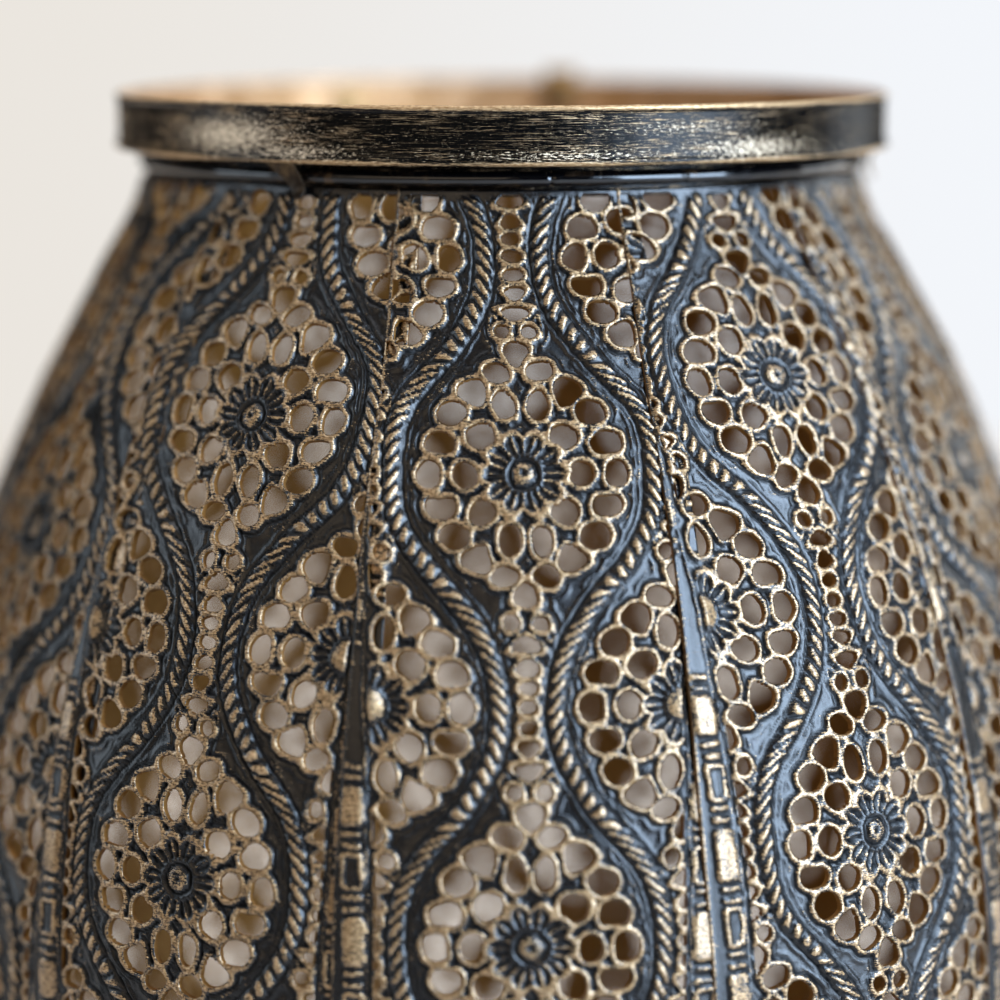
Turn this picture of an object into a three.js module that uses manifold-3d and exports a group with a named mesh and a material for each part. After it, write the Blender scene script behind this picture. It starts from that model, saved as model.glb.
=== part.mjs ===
// Free-standing pierced sheet-metal lantern: an open-topped body of twelve lapped gores between
// a mouth hoop and a foot hoop, with a lift-out candle tray, glass and candle.
// Millimetres, +Z up. The foot stands on Z = 0, the axis is the Z axis, the front is the -Y side.
// Azimuths are in degrees from the front, positive towards +X.
// A "depth" is measured down from the top of the mouth hoop.
import * as THREE from 'three';
import { mergeVertices } from 'three/addons/utils/BufferGeometryUtils.js';
import Module from 'manifold-3d';

const { degToRad, radToDeg, mapLinear } = THREE.MathUtils;
const wasm = await Module();
wasm.setup();

// ---------------------------------------------------------------- overall sizes
const HEIGHT = 372;            // foot underside to mouth hoop top
const GAP = 0.3;               // clearance between neighbouring pieces

// ---------------------------------------------------------------- materials
const standard = (settings) => new THREE.MeshStandardMaterial(settings);
const BLACK = 0x17181b;
const GOLD = 0xb08a55;
const materials = {
  blackSheet: standard({ color: BLACK, roughness: 0.42, metalness: 0.55 }),
  blackWire: standard({ color: BLACK, roughness: 0.25, metalness: 0.6 }),
  brownMetal: standard({ color: 0x3a3026, roughness: 0.45, metalness: 0.7 }),
  gold: standard({ color: GOLD, roughness: 0.45, metalness: 0.8 }),
  goldPlate: standard({ color: GOLD, roughness: 0.5, metalness: 0.8 }),
  greyMetal: standard({ color: 0x8a8a88, roughness: 0.35, metalness: 0.9 }),
  wax: standard({ color: 0xefe6d2, roughness: 0.55, metalness: 0 }),
  wick: standard({ color: 0x2a2420, roughness: 0.9, metalness: 0 }),
  glass: standard({
    color: 0xdfe8e6, roughness: 0.05, metalness: 0, transparent: true, opacity: 0.3,
  }),
};

// ---------------------------------------------------------------- geometry helpers
// Turns the faces of an indexed closed geometry outwards, judged by its signed volume.
function faceOutwards(geometry) {
  const position = geometry.getAttribute('position');
  const index = geometry.index.array;
  const corners = [new THREE.Vector3(), new THREE.Vector3(), new THREE.Vector3()];
  let volume = 0;
  for (let i = 0; i < index.length; i += 3) {
    corners.forEach((corner, j) => corner.fromBufferAttribute(position, index[i + j]));
    volume += corners[0].dot(corners[1].cross(corners[2]));
  }
  if (volume < 0) {
    for (let i = 0; i < index.length; i += 3) {
      [index[i], index[i + 1]] = [index[i + 1], index[i]];
    }
  }
  return geometry;
}

const lantern = new THREE.Group();

// Adds a flat-shaded mesh made from an indexed geometry.
function add(name, geometry, material) {
  const flat = faceOutwards(geometry).toNonIndexed();
  flat.deleteAttribute('normal');
  flat.deleteAttribute('uv');
  flat.computeVertexNormals();
  const mesh = new THREE.Mesh(flat, material);
  mesh.name = name;
  lantern.add(mesh);
}

// Turns a profile of [radius, z] about the Z axis.
// A profile that starts off the axis is closed on itself.
function turned(profile, segments) {
  const points = profile.map(([radius, z]) => new THREE.Vector2(radius, z));
  if (profile[0][0] > 0) points.push(points[0].clone());
  return new THREE.LatheGeometry(points, segments).rotateX(Math.PI / 2);
}

// Extrudes an upright outline of [x, z] towards -Y, starting from the plane y = startY,
// then turns it about the Z axis and raises it.
function prism(outline, { depth, startY, turnDeg, z }) {
  const shape = new THREE.Shape(outline.map((point) => new THREE.Vector2(...point)));
  const geometry = new THREE.ExtrudeGeometry(shape, { depth, bevelEnabled: false });
  geometry.deleteAttribute('normal');
  geometry.deleteAttribute('uv');
  geometry.rotateX(Math.PI / 2);
  geometry.translate(0, startY, 0);
  geometry.rotateZ(degToRad(turnDeg));
  geometry.translate(0, 0, z);
  return mergeVertices(geometry);
}

// The point at a radius and azimuth, shifted sideways by `across`.
function aroundAxis(radius, azimuth, z, across = 0) {
  const sin = Math.sin(degToRad(azimuth));
  const cos = Math.cos(degToRad(azimuth));
  return [radius * sin + across * cos, -radius * cos + across * sin, z];
}

// Moves point i of a path of [depth, radius] outwards along its normal.
// Returns [depth, radius].
function offsetPoint(path, i, distance) {
  const [depth, radius] = path[i];
  const [depthBefore, radiusBefore] = path[Math.max(0, i - 1)];
  const [depthAfter, radiusAfter] = path[Math.min(path.length - 1, i + 1)];
  const depthRun = depthAfter - depthBefore;
  const radiusRun = radiusAfter - radiusBefore;
  const scale = distance / Math.hypot(depthRun, radiusRun);
  return [depth - scale * radiusRun, radius + scale * depthRun];
}

// Closed sheet between a grid of outer points and an equal grid of inner points.
function sheet(outerGrid, innerGrid) {
  const rows = outerGrid.length;
  const cols = outerGrid[0].length;
  const outer = (i, j) => i * cols + j;
  const inner = (i, j) => rows * cols + outer(i, j);
  const index = [];
  const quad = (a, b, c, d) => index.push(a, b, c, a, c, d);
  const lastRow = rows - 1;
  const lastCol = cols - 1;
  for (let i = 0; i < lastRow; i++) {
    for (let j = 0; j < lastCol; j++) {
      quad(outer(i, j), outer(i + 1, j), outer(i + 1, j + 1), outer(i, j + 1));
      quad(inner(i, j), inner(i, j + 1), inner(i + 1, j + 1), inner(i + 1, j));
    }
  }
  // side edges
  for (let i = 0; i < lastRow; i++) {
    quad(outer(i, 0), inner(i, 0), inner(i + 1, 0), outer(i + 1, 0));
    quad(outer(i, lastCol), outer(i + 1, lastCol), inner(i + 1, lastCol), inner(i, lastCol));
  }
  // end edges
  for (let j = 0; j < lastCol; j++) {
    quad(outer(0, j), outer(0, j + 1), inner(0, j + 1), inner(0, j));
    quad(outer(lastRow, j), inner(lastRow, j), inner(lastRow, j + 1), outer(lastRow, j + 1));
  }
  const positions = [outerGrid, innerGrid].flat(3);
  const geometry = new THREE.BufferGeometry();
  geometry.setAttribute('position', new THREE.Float32BufferAttribute(positions, 3));
  geometry.setIndex(index);
  return geometry;
}

function toManifold(geometry) {
  faceOutwards(geometry);
  return new wasm.Manifold(new wasm.Mesh({
    numProp: 3,
    vertProperties: new Float32Array(geometry.getAttribute('position').array),
    triVerts: new Uint32Array(geometry.index.array),
  }));
}

function fromManifold(solid) {
  const { vertProperties, triVerts } = solid.getMesh();
  const geometry = new THREE.BufferGeometry();
  geometry.setAttribute('position',
    new THREE.BufferAttribute(new Float32Array(vertProperties), 3));
  geometry.setIndex(new THREE.BufferAttribute(new Uint32Array(triVerts), 1));
  return geometry;
}

// ---------------------------------------------------------------- gores
const SHEET_T = 0.8;
const GORES = 12;
const GORE_DEG = 360 / GORES;
const FIRST_AXIS_DEG = 2.1;          // azimuth of the middle of panel_01
const MIDDLE_HALF_DEG = 4.5;         // half width of the gore's middle facet
const LAP_DEG = 2.2;                 // how far a gore runs on under its right neighbour
const LAP_CLEAR_DEG = 0.3;           // the lifted edge reaches this far past the lap
const LAP_STEP_DEG = 0.6;            // width of the step down from the lifted edge
const LAP_LIFT = SHEET_T + GAP;      // how far the lifted edge stands proud

// outside of the gores, upper half: [depth, radius]
const UPPER_PROFILE = [
  [16.4, 78.9], [24, 81.1], [42, 91.3], [64, 103],
  [92, 115], [124, 125], [156, 131.7], [186, 134],
];
// the lower half mirrors the upper about the last point
const PROFILE = [
  ...UPPER_PROFILE,
  ...UPPER_PROFILE.slice(0, -1).reverse().map(([depth, radius]) => [HEIGHT - depth, radius]),
];

// columns across a gore: [azimuth from its middle, lift]
const LEFT_DEG = -GORE_DEG / 2;
const STEP_DEG = LEFT_DEG + LAP_DEG + LAP_CLEAR_DEG;
const GORE_COLUMNS = [
  [LEFT_DEG, LAP_LIFT], [STEP_DEG, LAP_LIFT], [STEP_DEG + LAP_STEP_DEG, 0],
  [-MIDDLE_HALF_DEG, 0], [MIDDLE_HALF_DEG, 0], [GORE_DEG / 2 + LAP_DEG, 0],
];

// piercing: four lozenge openings round each flower centre on the gore's middle line
const FLOWER_PITCH = 86.104;         // measured in height
const FIRST_FLOWER = [75, 58, 66];   // depth of the first flower, on three gores in turn
const LAST_FLOWER_MARGIN = 40;       // flower centres stay this far above the foot underside
const OPENING_MARGIN = 34;           // opening centres stay this far from both ends
const OPENING_CENTRES = [[-11, 0], [11, 0], [0, 16], [0, -16]];   // [across, up] from the flower
const LOZENGE = [[-5, 0], [0, -7], [5, 0], [0, 7]];               // [across, up]
const CUTTER_DEPTH = 16;             // centred on the sheet's outside

function profileRadius(z) {
  const depth = HEIGHT - z;
  const i = PROFILE.findIndex(([stationDepth], n) => n > 0 && depth <= stationDepth);
  const [depthAbove, radiusAbove] = PROFILE[i - 1];
  const [depthBelow, radiusBelow] = PROFILE[i];
  return mapLinear(depth, depthAbove, depthBelow, radiusAbove, radiusBelow);
}

function goreSheet(axisDeg) {
  const grid = (inset) => PROFILE.map((_, i) => GORE_COLUMNS.map(([azimuth, lift]) => {
    const [depth, radius] = offsetPoint(PROFILE, i, lift - inset);
    return aroundAxis(radius, axisDeg + azimuth, HEIGHT - depth);
  }));
  return sheet(grid(0), grid(SHEET_T));
}

function openingCutter(axisDeg, across, z) {
  const radius = profileRadius(z);
  return prism(LOZENGE, {
    depth: CUTTER_DEPTH,
    startY: CUTTER_DEPTH / 2 - radius,
    turnDeg: axisDeg + radToDeg(across / radius),
    z,
  });
}

function gore(k) {
  const axisDeg = FIRST_AXIS_DEG + GORE_DEG * k;
  let solid = toManifold(goreSheet(axisDeg));
  const firstDepth = FIRST_FLOWER[k % FIRST_FLOWER.length];
  for (let depth = firstDepth; depth < HEIGHT - LAST_FLOWER_MARGIN; depth += FLOWER_PITCH) {
    for (const [across, up] of OPENING_CENTRES) {
      const z = HEIGHT - depth + up;
      if (z > HEIGHT - OPENING_MARGIN || z < OPENING_MARGIN) continue;
      solid = solid.subtract(toManifold(openingCutter(axisDeg, across, z)));
    }
  }
  return fromManifold(solid);
}

for (let k = 0; k < GORES; k++) {
  add(`panel_${String(k + 1).padStart(2, '0')}`, gore(k), materials.blackSheet);
}

// ---------------------------------------------------------------- hoops and wire rings
const HOOP_R = 85;                   // outside radius of both hoops
const HOOP_H = 11.8;
const HOOP_T = 1;
const HOOP_INNER_R = HOOP_R - HOOP_T;
const FOOT_LIP_R = 78;               // inner radius of the foot hoop's turned-in lip
const BEAD_R = HOOP_R + 0.3;         // raised bead along a hoop's edge
const BEAD_H = 1.5;
const BEAD_CREST = 0.7;              // crest from the bead's edge nearer the body at a hoop's
                                     // body-side edge, and from its lower edge at the mouth
const HOOP_SEGMENTS = 60;

const WIRE_R = 1.5;
const WIRE_RING_R = 79.2;            // to the wire's centre line
const WIRE_INSET = 14.5;             // wire centre from the lantern's top or underside
const WIRE_SIDES = 6;

function mouthHoop() {
  const bottom = HEIGHT - HOOP_H;
  const topBead = HEIGHT - BEAD_H;
  return turned([
    [HOOP_INNER_R, bottom], [HOOP_R, bottom],
    [BEAD_R, bottom + BEAD_CREST], [HOOP_R, bottom + BEAD_H],
    [HOOP_R, topBead], [BEAD_R, topBead + BEAD_CREST],
    [HOOP_R, HEIGHT], [HOOP_INNER_R, HEIGHT],
  ], HOOP_SEGMENTS);
}

// the foot hoop is turned in underneath, so the lantern stands on a flat ring
function footHoop() {
  return turned([
    [FOOT_LIP_R, 0], [HOOP_R, 0],
    [HOOP_R, HOOP_H - BEAD_H], [BEAD_R, HOOP_H - BEAD_CREST],
    [HOOP_R, HOOP_H], [HOOP_INNER_R, HOOP_H],
    [HOOP_INNER_R, HOOP_T], [FOOT_LIP_R, HOOP_T],
  ], HOOP_SEGMENTS);
}

function wireRing(z) {
  const section = Array.from({ length: WIRE_SIDES }, (_, i) => {
    const angle = degToRad(30 + (360 / WIRE_SIDES) * i);
    return [WIRE_RING_R + WIRE_R * Math.cos(angle), z + WIRE_R * Math.sin(angle)];
  });
  return turned(section, HOOP_SEGMENTS);
}

add('rim_band', mouthHoop(), materials.brownMetal);
add('neck_wire', wireRing(HEIGHT - WIRE_INSET), materials.blackWire);
add('base_wire', wireRing(WIRE_INSET), materials.blackWire);
add('foot_band', footHoop(), materials.brownMetal);

// ---------------------------------------------------------------- claws
const CLAWS = 3;
const FIRST_CLAW_DEG = -32.6;
const CLAW_T = 0.6;
// tapered tongue: [distance from the lantern's top or underside, radius, half width]
const CLAW_PATH = [
  [3, 83.2, 3.6], [9.5, 83.2, 3.4], [12, 82.9, 3],
  [14.2, 82, 2.4], [16.2, 81.7, 1.8], [19, 82.3, 0.7],
];

function claw(azimuth, atFoot) {
  const grid = (inset) => CLAW_PATH.map(([, , halfWidth], i) => {
    const [depth, radius] = offsetPoint(CLAW_PATH, i, -inset);
    const z = atFoot ? depth : HEIGHT - depth;
    return [-halfWidth, 0, halfWidth].map((across) => aroundAxis(radius, azimuth, z, across));
  });
  return sheet(grid(0), grid(CLAW_T));
}

for (let i = 0; i < CLAWS; i++) {
  const azimuth = FIRST_CLAW_DEG + (360 / CLAWS) * i;
  add(`rim_claw_${i + 1}`, claw(azimuth, false), materials.gold);
  add(`foot_claw_${i + 1}`, claw(azimuth, true), materials.gold);
}

// ---------------------------------------------------------------- clip on the mouth hoop
const CLIP_DEG = 170;
const CLIP_WIDTH = 8;
// folded saddle over the hoop's edge: [radius, height above the hoop's top]
const CLIP_OUTLINE = [
  [82.5, -8], [83.3, -8], [83.3, 0.4], [85.7, 0.4], [85.7, -8],
  [86.5, -8], [86.5, 1.4], [85.2, 2.6], [83.6, 2.6], [82.5, 1.4],
];

// the outline lies along +X, which is azimuth 90
add('rim_joint_clip', prism(CLIP_OUTLINE, {
  depth: CLIP_WIDTH, startY: CLIP_WIDTH / 2, turnDeg: CLIP_DEG - 90, z: HEIGHT,
}), materials.gold);

// ---------------------------------------------------------------- floor and insert
const PLATE_Z = 11.7;
const PLATE_R = 80.4;
const PLATE_TOP = PLATE_Z + 1;

const TRAY_Z = PLATE_TOP + GAP;
const TRAY_R = 62;
const TRAY_T = 1;
const TRAY_FLOOR = TRAY_Z + TRAY_T;
const TRAY_RIM = TRAY_Z + 9;
const REST_Z = TRAY_FLOOR + GAP;     // underside of the pin, the candle and the glass

const PIN_FOOT_R = 7;
const PIN_FOOT_TOP = REST_Z + 1;
const PIN_TIP = PIN_FOOT_TOP + 18;
const PIN_SHOULDER = PIN_TIP - 4;    // where the shank begins to narrow to the tip

const CANDLE_R = 25;
const CANDLE_TOP = 84;
const RECESS_R = PIN_FOOT_R + 0.4;   // hollow over the pin's foot
const RECESS_TOP = PIN_FOOT_TOP + GAP;

const WICK_R = 0.9;
const WICK_BASE = CANDLE_TOP - 7;
const WICK_TOP = CANDLE_TOP + 8;
const WICK_HOLE_R = WICK_R + GAP;
const WICK_HOLE_BASE = WICK_BASE - GAP;

const GLASS_R = 50;
const GLASS_INNER_R = GLASS_R - 2.4;
const GLASS_TOP = 124;

function basePlate() {
  return turned([[0, PLATE_Z], [PLATE_R, PLATE_Z], [PLATE_R, PLATE_TOP], [0, PLATE_TOP]], 36);
}

function candleTray() {
  return turned([
    [0, TRAY_Z], [TRAY_R - 3, TRAY_Z], [TRAY_R, TRAY_Z + 3],
    [TRAY_R + 0.6, TRAY_RIM], [TRAY_R - 0.4, TRAY_RIM],
    [TRAY_R - 1, TRAY_Z + 3.4], [TRAY_R - 3.4, TRAY_FLOOR], [0, TRAY_FLOOR],
  ], 36);
}

function candlePin() {
  return turned([
    [0, REST_Z], [PIN_FOOT_R, REST_Z], [PIN_FOOT_R, PIN_FOOT_TOP],
    [1.5, PIN_FOOT_TOP], [1.2, PIN_SHOULDER], [0, PIN_TIP],
  ], 20);
}

// hollow below for the pin and above for the wick
function candle() {
  return turned([
    [0, PIN_TIP + 1], [1.6, PIN_SHOULDER], [1.9, RECESS_TOP],
    [RECESS_R, RECESS_TOP], [RECESS_R, REST_Z],
    [CANDLE_R - 0.8, REST_Z], [CANDLE_R, REST_Z + 0.8],
    [CANDLE_R, CANDLE_TOP - 1.2], [CANDLE_R - 1.6, CANDLE_TOP], [6, CANDLE_TOP - 1.4],
    [WICK_HOLE_R, CANDLE_TOP - 1.8], [WICK_HOLE_R, WICK_HOLE_BASE], [0, WICK_HOLE_BASE],
  ], 24);
}

function candleWick() {
  return turned([
    [0, WICK_BASE], [WICK_R, WICK_BASE], [WICK_R, WICK_TOP - 0.6], [0, WICK_TOP],
  ], 10);
}

function glassChimney() {
  return turned([
    [GLASS_INNER_R, REST_Z + 0.8], [GLASS_INNER_R + 0.8, REST_Z],
    [GLASS_R - 0.6, REST_Z], [GLASS_R, REST_Z + 0.8],
    [GLASS_R, GLASS_TOP - 1], [GLASS_R - 1.2, GLASS_TOP], [GLASS_INNER_R, GLASS_TOP - 1],
  ], 36);
}

add('base_plate', basePlate(), materials.goldPlate);
add('candle_tray', candleTray(), materials.gold);
add('candle_pin', candlePin(), materials.greyMetal);
add('candle', candle(), materials.wax);
add('candle_wick', candleWick(), materials.wick);
add('glass_chimney', glassChimney(), materials.glass);

export default lantern;
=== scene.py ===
import math
import bpy
import bmesh
import numpy as np
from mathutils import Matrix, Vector

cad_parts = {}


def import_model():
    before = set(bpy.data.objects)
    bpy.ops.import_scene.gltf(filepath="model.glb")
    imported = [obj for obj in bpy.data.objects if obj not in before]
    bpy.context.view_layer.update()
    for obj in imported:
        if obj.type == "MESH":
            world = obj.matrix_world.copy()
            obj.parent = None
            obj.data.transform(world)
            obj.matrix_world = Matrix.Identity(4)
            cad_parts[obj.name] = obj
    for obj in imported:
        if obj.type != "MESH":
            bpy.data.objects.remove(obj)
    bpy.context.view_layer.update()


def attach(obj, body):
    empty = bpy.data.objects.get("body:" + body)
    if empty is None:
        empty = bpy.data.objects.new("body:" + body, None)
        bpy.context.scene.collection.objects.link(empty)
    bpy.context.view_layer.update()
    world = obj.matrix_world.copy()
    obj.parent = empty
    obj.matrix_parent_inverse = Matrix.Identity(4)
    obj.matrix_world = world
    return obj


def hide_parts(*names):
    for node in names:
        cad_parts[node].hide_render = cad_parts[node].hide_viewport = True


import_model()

MM = 0.001
HEIGHT = 372.0
RIM_R = 85.0
BAND_H = 11.8

# ------------------------------------------------------------------ body profile
# depth below the hoop's top (mm) -> radius of the gores (mm); mirrored about the belly
HALF = [(16.6, 79.1), (22, 80.2), (28, 83.0), (38, 88.9), (48, 94.5), (64, 103.0), (82, 111.0),
        (102, 118.4), (124, 125.0), (148, 130.2), (170, 133.2), (186, 134.0)]
FULL = HALF + [(HEIGHT - d, r) for d, r in HALF[:-1][::-1]]


def pchip(x, y, q):
    x = np.asarray(x, float); y = np.asarray(y, float)
    h = np.diff(x); s = np.diff(y) / h
    m = np.zeros(len(x))
    for i in range(1, len(x) - 1):
        if s[i - 1] * s[i] > 0:
            w1, w2 = 2 * h[i] + h[i - 1], h[i] + 2 * h[i - 1]
            m[i] = (w1 + w2) / (w1 / s[i - 1] + w2 / s[i])
    m[0], m[-1] = s[0], s[-1]
    q = np.asarray(q, float)
    k = np.clip(np.searchsorted(x, q, side="right") - 1, 0, len(h) - 1)
    t = (q - x[k]) / h[k]
    return ((1 + 2 * t) * (1 - t) ** 2 * y[k] + t * (1 - t) ** 2 * h[k] * m[k]
            + t * t * (3 - 2 * t) * y[k + 1] + t * t * (t - 1) * h[k] * m[k + 1])


_d = np.linspace(FULL[0][0], FULL[-1][0], 1600)
_r = pchip([p[0] for p in FULL], [p[1] for p in FULL], _d)
_k = np.hanning(41); _k /= _k.sum()
_r = np.concatenate([_r[:20], np.convolve(_r, _k, "valid"), _r[-20:]])
_s = np.concatenate([[0], np.cumsum(np.hypot(np.diff(_d), np.diff(_r)))])
ARC = _s[-1]


def meridian(v):
    """radius, height, outward normal (r, z) at arc v from the neck edge"""
    r = np.interp(v, _s, _r); d = np.interp(v, _s, _d)
    e = 1.2
    dr = np.interp(v + e, _s, _r) - np.interp(v - e, _s, _r)
    dd = np.interp(v + e, _s, _d) - np.interp(v - e, _s, _d)
    l = np.hypot(dr, dd)
    return r, HEIGHT - d, dd / l, dr / l


# ------------------------------------------------------------------ pressed and pierced pattern
# sheet coordinates: u across the gore from its axis, v down the gore, both in mm
PITCH = 91.7          # one medallion to the next down a column
BCOL = 30.2           # half-medallion columns at u = +-BCOL
ROPE_W = 1.9
SC = 0.187            # mm per unit of the hole table below

# x, y, half width, half height, turn in degrees, taper, cut (angle, offset) or None
HOLES = [
    # ten inner holes
    (16.3, -75.5, 10.9, 17.3, 4, 0.10, None), (42.2, -42, 14.4, 14.6, -40, 0.15, None),
    (59.5, 0.5, 12.9, 14.9, 0, 0.0, None), (42.3, 40.5, 14.6, 13.4, 35, 0.1, None),
    (16.0, 72.5, 10.7, 17.0, -4, -0.08, None),
    # twenty outer holes
    (0, -132.5, 13.0, 14.7, 0, -0.42, None), (22.8, -113.5, 14.6, 10.9, -18, 0.0, None),
    (48, -89, 14.8, 16.6, 24, -0.42, None), (71.6, -65.7, 15.9, 13.7, 14, 0.0, None),
    (85.3, -32.5, 16.7, 14.5, 6, 0.0, (90, 10.5)), (95.5, 1, 13.6, 15.0, 0, 0.0, (180, 11.0)),
    (85, 34, 16.2, 13.5, -6, 0.0, (-90, 9.5)), (71.7, 66.3, 16.3, 14.0, -12, 0.0, None),
    (47.7, 89.5, 14.6, 15.8, -24, 0.42, None), (22.0, 108.0, 14.2, 10.8, 20, 0.12, None),
    (0, 127.5, 12.6, 14.3, 0, 0.42, None),
]
# stem between two medallions, measured from the stem's middle
STEM = [
    (15, -86.5, 7.8, 8.4, 30, 0.0, None), (15, 86.5, 7.8, 8.2, -30, 0.0, None),
    (0, -65.5, 13.4, 8.8, 0, 0.5, None), (0, -42, 10.4, 8.8, 0, 0.35, None),
    (0, -21, 9.8, 7.2, 0, 0.0, None), (0, 0, 9.6, 7.4, 0, 0.0, None),
    (0, 21, 9.8, 7.2, 0, 0.0, None), (0, 42, 10.8, 8.2, 0, -0.35, None),
    (0, 65.5, 13.8, 8.6, 0, -0.5, None),
]

GT = np.array([0, .1, .2, .3, .4, .5, .6, .7, .8, .9, 1.0])
GU = np.array([25.4, 25.2, 24.4, 22.5, 19.2, 15.3, 11.7, 8.8, 6.8, 5.7, 5.3])


def rope_line(y):
    """u of the rope beside a medallion at height y from its centre, and its slope"""
    t = np.abs(((y / PITCH + 0.5) % 1.0) - 0.5) * 2
    sign = np.where(((y / PITCH) % 1.0) < 0.5, 1.0, -1.0)
    g = pchip(GT, GU, t)
    e = 0.01
    dg = (pchip(GT, GU, np.clip(t + e, 0, 1)) - pchip(GT, GU, np.clip(t - e, 0, 1))) / (
        np.clip(t + e, 0, 1) - np.clip(t - e, 0, 1)) / (PITCH / 2) * sign
    return g, dg


_y = np.linspace(0, PITCH, 2001)
_g, _dg = rope_line(_y)
_ls = np.concatenate([[0], np.cumsum(np.hypot(np.diff(_y), np.diff(_g)))])


def rope_arc(y):
    n = np.floor(y / PITCH)
    return n * _ls[-1] + np.interp(y - n * PITCH, _y, _ls)


def hash01(*k):
    x = 0.0
    for i, a in enumerate(k):
        x = x + np.asarray(a, float) * (12.9898 + 47.233 * i)
    return np.modf(np.abs(np.sin(x + 0.731) * 43758.5453))[0]


def hole_sd(x, y, h, jx, jy):
    """signed distance (mm, negative inside) to one hole of the table"""
    cx, cy, a, b, turn, taper, cut = h
    px, py = x - cx * SC - jx, y - cy * SC - jy
    c, s = math.cos(math.radians(turn)), math.sin(math.radians(turn))
    qx, qy = c * px + s * py, -s * px + c * py
    a, b = a * SC, b * SC
    if taper:
        qx = qx / np.clip(1 + taper * qy / b, 0.3, 2.0)
    k0 = np.sqrt((qx / a) ** 2 + (qy / b) ** 2)
    k1 = np.sqrt((qx / a ** 2) ** 2 + (qy / b ** 2) ** 2) + 1e-9
    d = k0 * (k0 - 1) / k1
    if cut:
        n = math.radians(cut[0])
        p = px * math.cos(n) + py * math.sin(n) - cut[1] * SC
        k = 0.5
        m = np.maximum(d, p)
        hh = np.clip(k - np.abs(d - p), 0, None) / k
        d = m + hh * hh * k * 0.25
    return d


def smooth(e0, e1, x):
    t = np.clip((x - e0) / (e1 - e0), 0, 1)
    return t * t * (3 - 2 * t)


def bump(x, w):
    t = np.clip(1 - (x / w) ** 2, 0, 1)
    return t


CUT = 30.7            # the half flowers are cut off here by the border


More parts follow.
